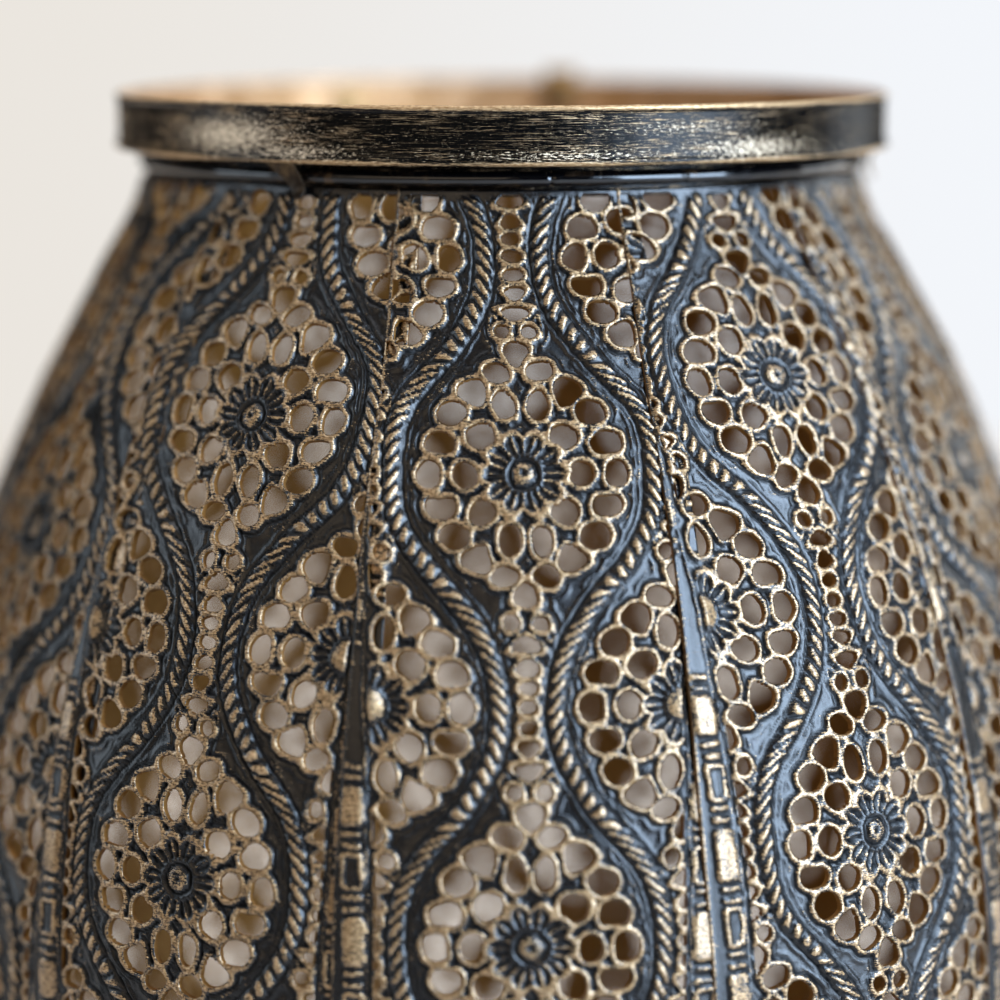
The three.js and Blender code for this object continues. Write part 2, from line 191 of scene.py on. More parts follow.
def pattern(u, v, phase, seed, shrink=0.0):
    """hole distance, relief height, gilding amount at sheet points"""
    shape = u.shape
    u = u.ravel(); v = v.ravel()
    # nothing on hand-struck sheet is quite regular
    k1, k2 = 1.9 * seed, 0.7 * seed
    wu = (0.08 * np.sin(0.83 * u + 1.27 * v + k1) + 0.06 * np.sin(1.51 * u - 0.93 * v + k2)
          + 0.16 * np.sin(0.31 * u + 0.23 * v + k2) + 0.03 * np.sin(2.9 * v + 1.1 * u))
    wv = (0.08 * np.sin(1.19 * u - 0.71 * v + k2) + 0.06 * np.sin(0.67 * u + 1.63 * v + k1)
          + 0.16 * np.sin(0.27 * u - 0.33 * v + k1) + 0.03 * np.sin(2.7 * u - 0.9 * v))
    u = u + wu; v = v + wv
    au = np.abs(u); side = np.sign(u) + (u == 0)
    yA = v - phase
    g, dg = rope_line(yA)
    slope = np.sqrt(1 + dg * dg)
    dr = (au - g) / slope                     # signed distance to the rope, + outwards
    inA = dr < 0
    # local coordinates of the medallion this point belongs to
    nA = np.round(yA / PITCH)
    yB = yA - PITCH / 2
    nB = np.round(yB / PITCH)
    lx = np.where(inA, au, BCOL - au)
    ly = np.where(inA, yA - nA * PITCH, yB - nB * PITCH)
    idx = np.where(inA, nA * 2, nB * 2 + 1) + 40
    lside = np.where(inA, side, -side)
    border = au > CUT
    # every hole near this point
    sd = np.full(u.shape, 9.0); sd2 = np.full(u.shape, 9.0)
    for i, h in enumerate(HOLES):
        jx = (hash01(i, idx, lside, seed) - 0.5) * 0.42
        jy = (hash01(i, idx, lside, seed + 3) - 0.5) * 0.42
        hs = hole_sd(lx, ly, h, jx, jy)
        sd2 = np.minimum(sd2, np.maximum(sd, hs)); sd = np.minimum(sd, hs)
    # the stem holes, for points between two medallions of one column
    sy = np.where(ly > 0, ly - PITCH / 2, ly + PITCH / 2)
    sidx = np.where(ly > 0, idx, idx - 2)
    for i, h in enumerate(STEM):
        jx = (hash01(i + 50, sidx, seed) - 0.5) * 0.22
        jy = (hash01(i + 50, sidx, seed + 3) - 0.5) * 0.22
        hs = hole_sd(lx, sy, h, jx, jy)
        sd2 = np.minimum(sd2, np.maximum(sd, hs)); sd = np.minimum(sd, hs)
    sd = sd + shrink
    # the half columns end at the border
    open_ = np.where(inA, 1.0, smooth(0.0, 0.8, CUT - 0.3 - au))
    sd = np.where(inA, sd, np.maximum(sd, au - (CUT - 0.9)))
    sd = np.where(border, np.maximum(sd, 1.2), sd)

    # frames round the holes
    d = np.clip(sd, 0, None)
    ring = np.where(d < 0.45, 0.62 + 0.38 * np.sin(np.clip(d / 0.45, 0, 1) * math.pi / 2),
                    np.clip(1 - ((d - 0.45) / 0.75) ** 2, 0, 1))
    th = np.arctan2(ly, lx); rr = np.hypot(lx, ly)
    lobes = np.abs(np.cos(5 * th))
    rim = 7.15 + 2.05 * lobes ** 0.8
    near2 = np.minimum(sd2, np.where(sd > 0, rr - rim + 0.3, 9.0))
    web = smooth(3.1, 2.0, np.clip(sd, 0, None) + np.clip(near2, 0, None)) * (0.80 + 0.12 * np.sin(2.1 * u + 1.3 * v))
    ring = np.maximum(ring, np.where(sd > 0.2, web, 0))
    h = 0.80 * ring * open_
    gild = smooth(0.30, 0.80, ring) * open_ * 0.92
    # blind lobes beside the stem's end pair
    lobe = np.sqrt(((np.abs(lx) - 4.4) / 0.9) ** 2 + ((np.abs(sy) - 15.2) / 2.3) ** 2)
    h = np.where((lobe < 1.4) & (d > 0.4), np.maximum(h, 0.5 * bump(lobe - 1.05, 0.35)), h)
    gild = np.maximum(gild, np.where(d > 0.4, bump(lobe - 1.05, 0.35), 0) * 0.7)

    # flower: ten scalloped petals, each with two slots and a ridge between
    slot = 0.5 - 0.5 * np.cos(20 * th)                      # 1 in the slots
    midrib = smooth(0.5, 0.8, lobes)                        # the ridge down a petal's middle
    along = smooth(3.5, 4.3, rr) * (1 - smooth(rim - 1.9, rim - 1.15, rr))
    body = 0.72 - 0.80 * slot ** 0.6 * along
    body = body - 0.14 * midrib * (1 - slot) * along
    body = body * smooth(2.75, 3.7, rr)
    hf = np.where(rr < rim, body, 0)
    hf = np.maximum(hf, 0.86 * bump(rr - rim + 0.5, 0.95))
    dome_r = np.where(inA, 2.55, 3.7)
    dome = np.sqrt(np.clip(1 - (rr / dome_r) ** 2, 0, 1))
    hd = np.where(inA, 1.25 * dome - 0.85 * np.exp(-(rr / 0.55) ** 2) - 0.12 * np.exp(-((rr - 1.35) / 0.22) ** 2), 1.25 * dome)
    hf = np.maximum(hf, hd)
    gf = bump(rr - rim + 0.5, 1.05)
    ridge = (1 - slot) * along * (0.66 + 0.34 * smooth(4.2, 7.0, rr)) * smooth(0.2, 0.5, body)
    gf = np.maximum(gf, np.where(rr < rim - 0.3, np.maximum(ridge, 0.62 * smooth(rim - 1.6, rim - 0.9, rr)), 0))
    gf = np.maximum(gf, np.where(dome > 0.2, np.where(inA, 0.72, 0.9) * smooth(0.25, 0.7, dome)
                                 * (1 - 0.95 * np.exp(-(rr / 0.6) ** 2) * inA), 0))
    fl = smooth(0.75, 0.15, rr - rim) * np.where(inA, 1.0, smooth(0.0, 0.5, CUT - 0.35 - au))
    inside_fl = rr < rim + 0.05
    sd = np.where(inside_fl & ~border, np.maximum(sd, 0.25 + (rim - rr) * 0.6), sd)
    cover = rr > rim - 0.6
    h = np.where(fl > 0, np.maximum(h * cover, hf * fl), h)
    gild = np.where(fl > 0.0, np.maximum(gild * cover, gf * fl), gild)

    # rope: twisted strands, the lay turns over where it passes from one medallion to the next
    s = rope_arc(yA)
    t = np.abs(((yA / PITCH + 0.5) % 1.0) - 0.5) * 2
    lay = -1.0 + 2.0 * smooth(0.40, 0.62, t)
    tt = np.clip(dr / ROPE_W, -1, 1)
    ph = (s + lay * ROPE_W * (1.02 * tt + 0.10 * np.sin(math.pi * tt))) / 2.9
    n_ = np.floor(ph)
    f = ph - n_
    strand = np.clip(1 - (2 * f - 1) ** 2, 0, 1) ** 0.62
    vary = 0.85 + 0.3 * hash01(n_, seed, 5)
    across = np.sqrt(np.clip(1 - (dr / ROPE_W) ** 2, 0, 1))
    hr = 1.15 * across * (0.12 + 0.88 * strand) * (0.85 + 0.15 * vary)
    inrope = (np.abs(dr) < ROPE_W) & ~border
    gr = smooth(0.58, 0.90, strand * across ** 0.8) * vary
    # fine raised lines either side of the rope, and one round the medallion
    free = smooth(1.0, 1.35, d) * (rr > rim + 0.7)
    wig = 0.22 * np.sin(0.61 * s + seed) + 0.15 * np.sin(0.23 * s + 2 * seed)
    line = np.maximum(bump(dr - 2.65 - 0.3 * wig, 0.40), bump(dr + 2.65 + 0.3 * wig, 0.40))
    line = np.maximum(line, 0.8 * bump(dr + 3.7 + wig, 0.38) * (t < 0.5))
    line = np.maximum(line, 0.8 * bump(dr - 3.7 + wig, 0.38) * (t > 0.5))
    edge = bump(d - 2.05, 0.45) * (np.abs(dr) > 3.0) * (~border)
    hl = (0.34 * line + 0.22 * edge) * free
    h = np.maximum(h, hl)
    gild = np.maximum(gild, 0.26 * np.maximum(line, edge) * free)
    h = np.where(inrope, np.maximum(h, hr), h)
    gild = np.where(inrope, np.maximum(gild, gr), gild)
    sd = np.where(inrope, np.maximum(sd, 0.6), sd)

    # border: fine line, long pads and pairs of short bars between the half flowers
    q0 = np.abs(yB - nB * PITCH)                            # 0 at a half flower, 45.85 between two
    edge_x = CUT + 0.25
    bl = bump(au - edge_x, 0.42)
    kinds = [(12.0, 0), (14.3, 0), (19.6, 1), (24.9, 0), (27.1, 0), (32.2, 2), (37.2, 0), (39.5, 0), (44.8, 1)]
    bu = au - 33.6
    hb = np.zeros(u.shape); gb = np.zeros(u.shape)
    jit = (hash01(seed, side, nB) - 0.5) * 1.2
    for y0, kind in kinds:
        py = q0 - y0 - jit
        if kind == 0:
            m = bump(np.hypot(np.clip(np.abs(bu) - 1.5, 0, None), py), 0.78)
            hb = np.maximum(hb, 0.55 * m); gb = np.maximum(gb, smooth(0.25, 0.8, m) * 0.85)
        else:
            q = np.hypot(np.clip(np.abs(bu) - 1.1, 0, None), np.clip(np.abs(py) - 2.7, 0, None)) - 1.0
            pad = bump(q + 0.35, 0.72)
            hb = np.maximum(hb, 0.6 * pad); gb = np.maximum(gb, smooth(0.2, 0.8, pad) * 0.9)
            if kind == 1:
                fill = smooth(0.1, -0.6, q)
                hb = np.maximum(hb, 0.56 * fill); gb = np.maximum(gb, 0.95 * fill)
    inb = (au > edge_x - 0.1)
    h = np.where(border, 0, h); gild = np.where(border, 0, gild)
    h = np.maximum(h, np.where(au > CUT - 0.3, 0.34 * bl * ~inrope, 0))
    gild = np.maximum(gild, np.where(au > CUT - 0.3, 0.55 * bl * ~inrope, 0))
    h = np.where(inb, np.maximum(h, hb), h)
    gild = np.where(inb, np.maximum(gild, gb), gild)
    return sd.reshape(shape), h.reshape(shape), gild.reshape(shape)


# ------------------------------------------------------------------ mesh helpers
def make_mesh(name, co, quads, mat_index, sharp, attrs, mats, corner=4):
    me = bpy.data.meshes.new(name)
    n, f = len(co), len(quads)
    me.vertices.add(n); me.vertices.foreach_set("co", (np.asarray(co, np.float32) * MM).ravel())
    me.loops.add(f * corner); me.loops.foreach_set("vertex_index", np.asarray(quads, np.int32).ravel())
    me.polygons.add(f)
    me.polygons.foreach_set("loop_start", np.arange(0, f * corner, corner, dtype=np.int32))
    me.polygons.foreach_set("material_index", np.asarray(mat_index, np.int32))
    me.update(calc_edges=True)
    if sharp is not None:
        a = me.attributes.new("sharp_face", "BOOLEAN", "FACE")
        a.data.foreach_set("value", np.asarray(sharp, bool))
    for key, val in attrs.items():
        val = np.asarray(val, np.float32)
        if val.ndim == 1:
            a = me.attributes.new(key, "FLOAT", "POINT"); a.data.foreach_set("value", val)
        else:
            a = me.attributes.new(key, "FLOAT_VECTOR", "POINT"); a.data.foreach_set("vector", val.ravel())
    for m in mats:
        me.materials.append(m)
    ob = bpy.data.objects.new(name, me)
    bpy.context.scene.collection.objects.link(ob)
    return ob


def place(ob, body, slot, *nodes):
    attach(ob, body)
    if nodes:
        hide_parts(*nodes)
    return ob


# ------------------------------------------------------------------ materials
class Nodes:
    """small helper to write node trees"""

    def __init__(self, name):
        self.mat = bpy.data.materials.new(name)
        self.mat.use_nodes = True
        self.t = self.mat.node_tree
        self.t.nodes.clear()
        self.out = self.t.nodes.new("ShaderNodeOutputMaterial")
        self.bsdf = self.t.nodes.new("ShaderNodeBsdfPrincipled")
        self.t.links.new(self.bsdf.outputs[0], self.out.inputs[0])

    def put(self, socket, value):
        if isinstance(value, bpy.types.NodeSocket):
            self.t.links.new(value, socket)
        elif value is not None:
            if hasattr(socket.default_value, "__len__") and not hasattr(value, "__len__"):
                value = (value,) * len(socket.default_value)
            if hasattr(value, "__len__") and len(value) == 3 and len(socket.default_value) == 4:
                value = (*value, 1.0)
            socket.default_value = value

    def attr(self, name, kind="Fac"):
        n = self.t.nodes.new("ShaderNodeAttribute"); n.attribute_name = name
        return n.outputs[kind]

    def coord(self, which="Object"):
        return self.t.nodes.new("ShaderNodeTexCoord").outputs[which]

    def mapping(self, vec, scale=(1, 1, 1), rot=(0, 0, 0), loc=(0, 0, 0)):
        n = self.t.nodes.new("ShaderNodeMapping")
        self.put(n.inputs["Vector"], vec)
        n.inputs["Scale"].default_value = scale
        n.inputs["Rotation"].default_value = rot
        n.inputs["Location"].default_value = loc
        return n.outputs[0]

    def noise(self, vec, scale=5, detail=4, rough=0.55, dist=0.0):
        n = self.t.nodes.new("ShaderNodeTexNoise")
        self.put(n.inputs["Vector"], vec)
        n.inputs["Scale"].default_value = scale
        n.inputs["Detail"].default_value = detail
        n.inputs["Roughness"].default_value = rough
        n.inputs["Distortion"].default_value = dist
        return n.outputs["Fac"]

    def voronoi(self, vec, scale=5, feature="F1"):
        n = self.t.nodes.new("ShaderNodeTexVoronoi"); n.feature = feature
        self.put(n.inputs["Vector"], vec)
        n.inputs["Scale"].default_value = scale
        return n.outputs["Distance"]

    def math(self, op, a, b=None, c=None, clamp=False):
        n = self.t.nodes.new("ShaderNodeMath"); n.operation = op; n.use_clamp = clamp
        for i, x in enumerate((a, b, c)):
            if x is not None:
                self.put(n.inputs[i], x)
        return n.outputs[0]

    def ramp(self, x, lo, hi, out_lo=0.0, out_hi=1.0, soft=True):
        n = self.t.nodes.new("ShaderNodeMapRange")
        n.interpolation_type = "SMOOTHSTEP" if soft else "LINEAR"
        self.put(n.inputs["Value"], x)
        n.inputs["From Min"].default_value = lo
        n.inputs["From Max"].default_value = hi
        n.inputs["To Min"].default_value = out_lo
        n.inputs["To Max"].default_value = out_hi
        return n.outputs["Result"]

    def mix(self, fac, a, b):
        n = self.t.nodes.new("ShaderNodeMix"); n.data_type = "RGBA"
        self.put(n.inputs[0], fac)
        self.put(n.inputs[6], a)
        self.put(n.inputs[7], b)
        return n.outputs[2]

    def mixf(self, fac, a, b):
        n = self.t.nodes.new("ShaderNodeMix"); n.data_type = "FLOAT"
        self.put(n.inputs[0], fac); self.put(n.inputs[2], a); self.put(n.inputs[3], b)
        return n.outputs[0]

    def bump(self, height, strength=0.3, distance=0.0003, normal=None):
        n = self.t.nodes.new("ShaderNodeBump")
        n.inputs["Strength"].default_value = strength
        n.inputs["Distance"].default_value = distance
        self.put(n.inputs["Height"], height)
        if normal is not None:
            self.put(n.inputs["Normal"], normal)
        return n.outputs[0]

    def set(self, **kw):
        names = dict(color="Base Color", rough="Roughness", metal="Metallic", normal="Normal",
                     spec="Specular IOR Level", coat="Coat Weight", coat_rough="Coat Roughness",
                     trans="Transmission Weight", ior="IOR", alpha="Alpha", sss="Subsurface Weight",
                     sheen="Sheen Weight")
        for k, v in kw.items():
            self.put(self.bsdf.inputs[names[k]], v)
        return self.mat


GOLD_A, GOLD_B = (0.085, 0.040, 0.011), (0.53, 0.335, 0.160)
BLACK = (0.0008, 0.0009, 0.0012)


def mat_gore():
    """black paint, antique gold dry-brushed over the raised work"""
    n = Nodes("gore_black_gold")
    sheet = n.attr("sheet", "Vector")
    g = n.attr("gild")
    streak = n.noise(n.mapping(sheet, (0.55, 5.5, 1)), 1.0, 5, 0.65, 0.3)
    fine = n.noise(n.mapping(sheet, (1.7, 1.7, 1)), 1.0, 5, 0.65)
    mid = n.noise(n.mapping(sheet, (0.33, 0.33, 1), loc=(5, 2, 0)), 1.0, 4, 0.6)
    broad = n.noise(n.mapping(sheet, (0.06, 0.06, 1)), 1.0, 3, 0.5)
    # painted crease shade: the recesses lose their gold and turn black and dull
    painted_crease_shade = n.attr("painted_crease_shade")
    a = n.math("MULTIPLY_ADD", n.math("SUBTRACT", streak, 0.5), 2.3, g)
    a = n.math("MULTIPLY_ADD", n.math("SUBTRACT", fine, 0.5), 1.7, a)
    a = n.math("MULTIPLY_ADD", n.math("SUBTRACT", mid, 0.5), 1.5, a)
    a = n.math("MULTIPLY_ADD", n.math("SUBTRACT", broad, 0.5), 0.6, a)
    a = n.math("MULTIPLY_ADD", painted_crease_shade, -0.5, a)
    mask = n.ramp(a, 0.60, 0.84)
    # stray brush marks on the flat ground
    stray = n.ramp(n.noise(n.mapping(sheet, (0.35, 5.0, 1), loc=(3, 9, 0)), 1.0, 6, 0.7, 0.6), 0.58, 0.70)
    stray = n.math("MULTIPLY", stray, n.ramp(mid, 0.46, 0.62, 0.04, 0.55))
    mask = n.math("MAXIMUM", mask, n.math("MULTIPLY", stray, 0.6))
    tone = n.math("MULTIPLY_ADD", fine, 0.8, n.math("MULTIPLY", streak, 0.6))
    gold = n.mix(n.ramp(tone, 0.56, 0.86), GOLD_A, GOLD_B)
    gold = n.mix(n.ramp(a, 0.95, 1.45, 0.0, 0.55), gold, (0.66, 0.47, 0.27))
    black = n.mix(n.ramp(mid, 0.3, 0.7), BLACK, (0.0016, 0.0018, 0.0024))
    color = n.mix(mask, black, gold)
    rough = n.mixf(mask, n.ramp(fine, 0.3, 0.75, 0.13, 0.24), n.ramp(streak, 0.3, 0.7, 0.30, 0.48))
    rough = n.mixf(painted_crease_shade, rough, 0.6)
    metal = n.math("MULTIPLY", mask, 0.78)
    h = n.math("ADD", n.math("MULTIPLY", streak, 0.6), n.math("MULTIPLY", fine, 0.6))
    h = n.math("ADD", h, n.math("MULTIPLY", mask, 0.35))
    h = n.math("MULTIPLY_ADD", mid, 1.2, h)
    nrm = n.bump(h, 0.30, 0.00028)
    # the painted crease shade also takes the shine out of the recesses
    outside_crease_shade = n.math("SUBTRACT", 1.0, n.math("MULTIPLY", painted_crease_shade, 0.92))
    n.set(color=color, rough=rough, metal=metal, normal=nrm, spec=n.math("MULTIPLY", outside_crease_shade, 0.55),
          coat=n.math("MULTIPLY", mask, 0.85), coat_rough=0.20)
    return n.mat


def mat_gold_inside(name="gold_inside", light=1.0, tg=1.0, tb=1.0):
    n = Nodes(name)
    p = n.mapping(n.coord("Object"), (1000, 1000, 1000))
    a = n.noise(p, 0.12, 5, 0.6)
    b = n.noise(n.mapping(p, (1, 1, 3)), 0.9, 5, 0.65, 0.4)
    c = n.noise(p, 0.02, 3, 0.5)
    tone = n.math("MULTIPLY_ADD", a, 0.7, n.math("MULTIPLY", b, 0.4))
    # at light 1.0 these dark colours are the gores' inside, kept dark as painted shade; light scales the whole colour
    col = n.mix(n.ramp(tone, 0.35, 0.8), (0.15 * light, 0.058 * tg * light, 0.008 * tb * light),
                (0.42 * light, 0.215 * tg * light, 0.058 * tb * light))
    col = n.mix(n.ramp(c, 0.45, 0.62, 0.0, 0.4), col, (0.14, 0.065, 0.018))
    n.set(color=col, rough=n.ramp(b, 0.3, 0.7, 0.38, 0.58), metal=0.5, spec=0.22,
          normal=n.bump(n.math("ADD", a, b), 0.25, 0.0003))
    return n.mat


def mat_rim():
    """hoop: black over gold, rubbed and scratched; the sheet attribute is (arc mm, height mm, 0)"""
    n = Nodes("hoop_scratched")
    sheet = n.attr("sheet", "Vector")
    edge = n.attr("gild")
    rub = n.attr("rub")
    flat = n.noise(n.mapping(sheet, (0.11, 3.8, 1)), 1.0, 7, 0.70, 0.25)
    flat2 = n.noise(n.mapping(sheet, (0.5, 6.5, 1), loc=(7, 2, 0)), 1.0, 6, 0.7, 0.2)
    dia = n.noise(n.mapping(sheet, (0.10, 3.6, 1), rot=(0, 0, 0.42)), 1.0, 6, 0.66, 0.10)
    dia2 = n.noise(n.mapping(sheet, (0.22, 4.2, 1), rot=(0, 0, -0.62), loc=(4, 4, 0)), 1.0, 6, 0.66, 0.10)
    where = n.noise(n.mapping(sheet, (0.035, 0.10, 1), loc=(1.3, 0, 0)), 1.0, 2, 0.5)
    speck = n.noise(n.mapping(sheet, (1.1, 2.4, 1), loc=(1, 5, 0)), 1.0, 5, 0.7)
    wide = n.noise(n.mapping(sheet, (0.06, 0.25, 1), loc=(2, 8, 0)), 1.0, 3, 0.5)
    hfac = n.ramp(wide, 0.35, 0.65, 0.02, -0.045, soft=False)
    a = n.ramp(n.math("SUBTRACT", flat, hfac), 0.572, 0.612)
    b = n.math("MULTIPLY", n.ramp(flat2, 0.595, 0.640), 0.85)
    c = n.math("MULTIPLY", n.ramp(dia, 0.585, 0.62), n.ramp(where, 0.42, 0.52))
    d = n.math("MULTIPLY", n.ramp(dia2, 0.595, 0.63), n.ramp(where, 0.45, 0.56))
    m = n.math("MAXIMUM", n.math("MAXIMUM", a, b), n.math("MAXIMUM", c, d))
    m = n.math("MULTIPLY", m, n.ramp(speck, 0.38, 0.52, 0.30, 1.0))
    part = n.t.nodes.new("ShaderNodeSeparateXYZ")
    n.t.links.new(sheet, part.inputs[0])
    arc = part.outputs[0]
    m = n.math("MULTIPLY", m, n.ramp(arc, 46, 62, 1.0, 0.18))
    m = n.math("MULTIPLY", m, n.math("MAXIMUM", n.ramp(arc, -44, -32, 1.0, 0.45), n.ramp(arc, 4, 20, 0.45, 1.0)))
    m = n.math("MULTIPLY", m, n.ramp(n.noise(n.mapping(sheet, (0.07, 0.55, 1), loc=(6, 3, 0)), 1.0, 3, 0.6), 0.38, 0.60, 0.22, 1.0))
    pr = n.math("MULTIPLY_ADD", rub, 0.28, n.math("MULTIPLY_ADD", flat2, 1.0, n.math("MULTIPLY", speck, 0.9)))
    patch = n.ramp(pr, 1.135, 1.245)
    m = n.math("MAXIMUM", m, patch)
    m = n.math("MAXIMUM", m, n.ramp(n.math("MULTIPLY_ADD", n.math("SUBTRACT", flat2, 0.5), 1.1, edge), 0.36, 0.62))
    tone = n.math("MULTIPLY_ADD", flat2, 0.6, n.math("MULTIPLY", speck, 0.5))
    gold = n.mix(n.ramp(tone, 0.42, 0.72), (0.26, 0.14, 0.055), (0.74, 0.52, 0.29))
    gold = n.mix(n.math("MULTIPLY", patch, 0.75), gold, (0.90, 0.74, 0.54))
    col = n.mix(m, (0.0009, 0.0008, 0.0009), gold)
    h = n.math("ADD", n.math("MULTIPLY", m, 0.6), n.math("MULTIPLY", flat, 0.8))
    n.set(color=col, rough=n.mixf(m, 0.23, 0.44), metal=n.math("MULTIPLY", m, n.ramp(patch, 0.0, 1.0, 0.72, 0.40)), spec=n.mixf(m, n.ramp(arc, 40, 62, 0.16, 0.05), 0.5),
          normal=n.bump(h, 0.22, 0.0002))
    return n.mat


def mat_wire():
    n = Nodes("wire_black_gloss")
    p = n.mapping(n.coord("Object"), (1000, 1000, 1000))
    a = n.noise(p, 0.5, 5, 0.6)
    b = n.noise(p, 0.06, 3, 0.5)
    worn = n.ramp(n.math("MULTIPLY_ADD", a, 0.4, b), 0.80, 0.90, 0.0, 0.3)
    n.set(color=n.mix(worn, (0.0012, 0.0013, 0.0018), (0.20, 0.11, 0.045)), rough=n.ramp(a, 0.3, 0.7, 0.08, 0.17),
          metal=n.math("MULTIPLY", worn, 0.6), spec=0.7,
          normal=n.bump(a, 0.12, 0.0002))
    return n.mat


def mat_claw():
    n = Nodes("claw_antique_gold")
    p = n.mapping(n.coord("Object"), (1000, 1000, 1000))
    a = n.noise(n.mapping(p, (1, 1, 0.3)), 0.9, 6, 0.7, 0.4)
    b = n.noise(p, 0.22, 4, 0.6)
    col = n.mix(n.ramp(a, 0.35, 0.65), (0.12, 0.060, 0.018), (0.50, 0.30, 0.12))
    col = n.mix(n.ramp(n.math("MULTIPLY_ADD", n.noise(p, 0.06, 2, 0.5), 0.8, n.math("MULTIPLY", b, 0.25)), 0.44, 0.66, 0.0, 0.93), col, (0.006, 0.0045, 0.004))
    n.set(color=col, rough=n.ramp(a, 0.3, 0.7, 0.34, 0.52), metal=0.7, spec=0.5,
          normal=n.bump(n.math("ADD", a, b), 0.3, 0.0003))
    return n.mat


def mat_glass():
    n = Nodes("clear_glass_thin")
    p = n.mapping(n.coord("Object"), (1000, 1000, 1000))
    a = n.noise(n.mapping(p, (1, 1, 0.25)), 0.035, 3, 0.5)
    smear = n.ramp(n.noise(p, 0.12, 5, 0.6), 0.5, 0.75, 0.015, 0.08)
    n.set(color=(0.93, 0.97, 0.96), rough=smear, trans=1.0, ior=1.48, normal=n.bump(a, 0.12, 0.0008))
    return n.mat


def mat_wax():
    n = Nodes("candle_wax")
    p = n.mapping(n.coord("Object"), (1000, 1000, 1000))
    a = n.noise(p, 0.08, 4, 0.55)
    b = n.noise(p, 0.9, 4, 0.6)
    z = n.t.nodes.new("ShaderNodeSeparateXYZ"); n.put(z.inputs[0], p)
    col = n.mix(n.ramp(a, 0.3, 0.7), (0.56, 0.49, 0.36), (0.64, 0.585, 0.47))
    col = n.mix(n.ramp(z.outputs[2], 78, 86, 0.0, 0.35), col, (0.66, 0.56, 0.38))
    n.set(color=col, rough=n.ramp(b, 0.3, 0.7, 0.36, 0.52), sss=0.25, spec=0.4,
          normal=n.bump(n.math("MULTIPLY_ADD", a, 2.0, b), 0.2, 0.0004))
    n.bsdf.inputs["Subsurface Scale"].default_value = 0.006
    return n.mat


def mat_wick():
    n = Nodes("candle_wick_cotton")
    p = n.mapping(n.coord("Object"), (1000, 1000, 1000))
    w = n.t.nodes.new("ShaderNodeTexWave"); w.inputs["Scale"].default_value = 0.55
    w.inputs["Distortion"].default_value = 2.0
    n.put(w.inputs["Vector"], n.mapping(p, (1, 1, 1), rot=(0.5, 0.3, 0)))
    z = n.t.nodes.new("ShaderNodeSeparateXYZ"); n.put(z.inputs[0], p)
    col = n.mix(n.ramp(z.outputs[2], 83, 87), (0.55, 0.48, 0.38), (0.02, 0.018, 0.016))
    n.set(color=col, rough=0.9, spec=0.2, normal=n.bump(w.outputs["Fac"], 0.6, 0.0004))
    return n.mat


def mat_steel():
    n = Nodes("pin_dull_steel")
    p = n.mapping(n.coord("Object"), (1000, 1000, 1000))
    a = n.noise(n.mapping(p, (1, 1, 0.08)), 2.0, 5, 0.6)
    b = n.noise(p, 0.3, 4, 0.6)
    n.set(color=n.mix(b, (0.30, 0.29, 0.28), (0.55, 0.54, 0.52)), rough=n.ramp(a, 0.3, 0.7, 0.28, 0.48), metal=0.95,
          normal=n.bump(a, 0.2, 0.0002))
    return n.mat


def mat_plain(name, col_a, col_b, rough, scale=0.5, metal=0.0):
    n = Nodes(name)
    p = n.mapping(n.coord("Object"), (1, 1, 1))
    a = n.noise(p, scale, 4, 0.5)
    n.set(color=n.mix(a, col_a, col_b), rough=rough, metal=metal, spec=0.3)
    return n.mat


M_GORE = mat_gore()
# painted shade: the gold inside the gores is kept dark, for the shade inside the lantern
M_IN = mat_gold_inside()
M_RIM = mat_rim()
# painted light: the hoop's inside, the same gold paint as the gores' inside, made 1.9 times lighter and creamier for
# the light falling on it
M_RIMIN = mat_gold_inside("hoop_gold_inside_painted_light", 1.9, 1.22, 2.5)
M_WIRE = mat_wire()
M_CLAW = mat_claw()
M_TRAY = mat_gold_inside("tray_antique_gold", 1.6, 1.15, 2.0)


# ------------------------------------------------------------------ gores
# azimuth of each gore's axis (deg), its lean (deg per mm of arc), phase of its first medallion (arc mm),
# stretch of the pattern down the sheet, and where its upper, left edge lies (deg off the axis)
AXES = [2.25, 33.65] + [33.9 + 29.72 * (i + 1) for i in range(9)] + [-28.95]
LEANS = [0.0012, 0.0070, 0.001, -0.002, 0.003, 0.0, -0.001, 0.002, 0.001, -0.003, 0.002, 0.0046]
PHASES = [58.7, 41.2, 66.0, 34.0, 75.0, 49.0, 61.0, 38.0, 71.0, 53.0, 79.0, 48.9]
STRETCH = [1.022, 1.0, 0.995, 1.005, 1.0, 1.01, 0.995, 1.0, 1.005, 1.0, 0.995, 1.004]
LEFT = [16.3, 16.95, 16.4, 16.3, 16.5, 16.2, 16.4, 16.3, 16.5, 16.2, 16.4, 16.3]
THICK = 0.6


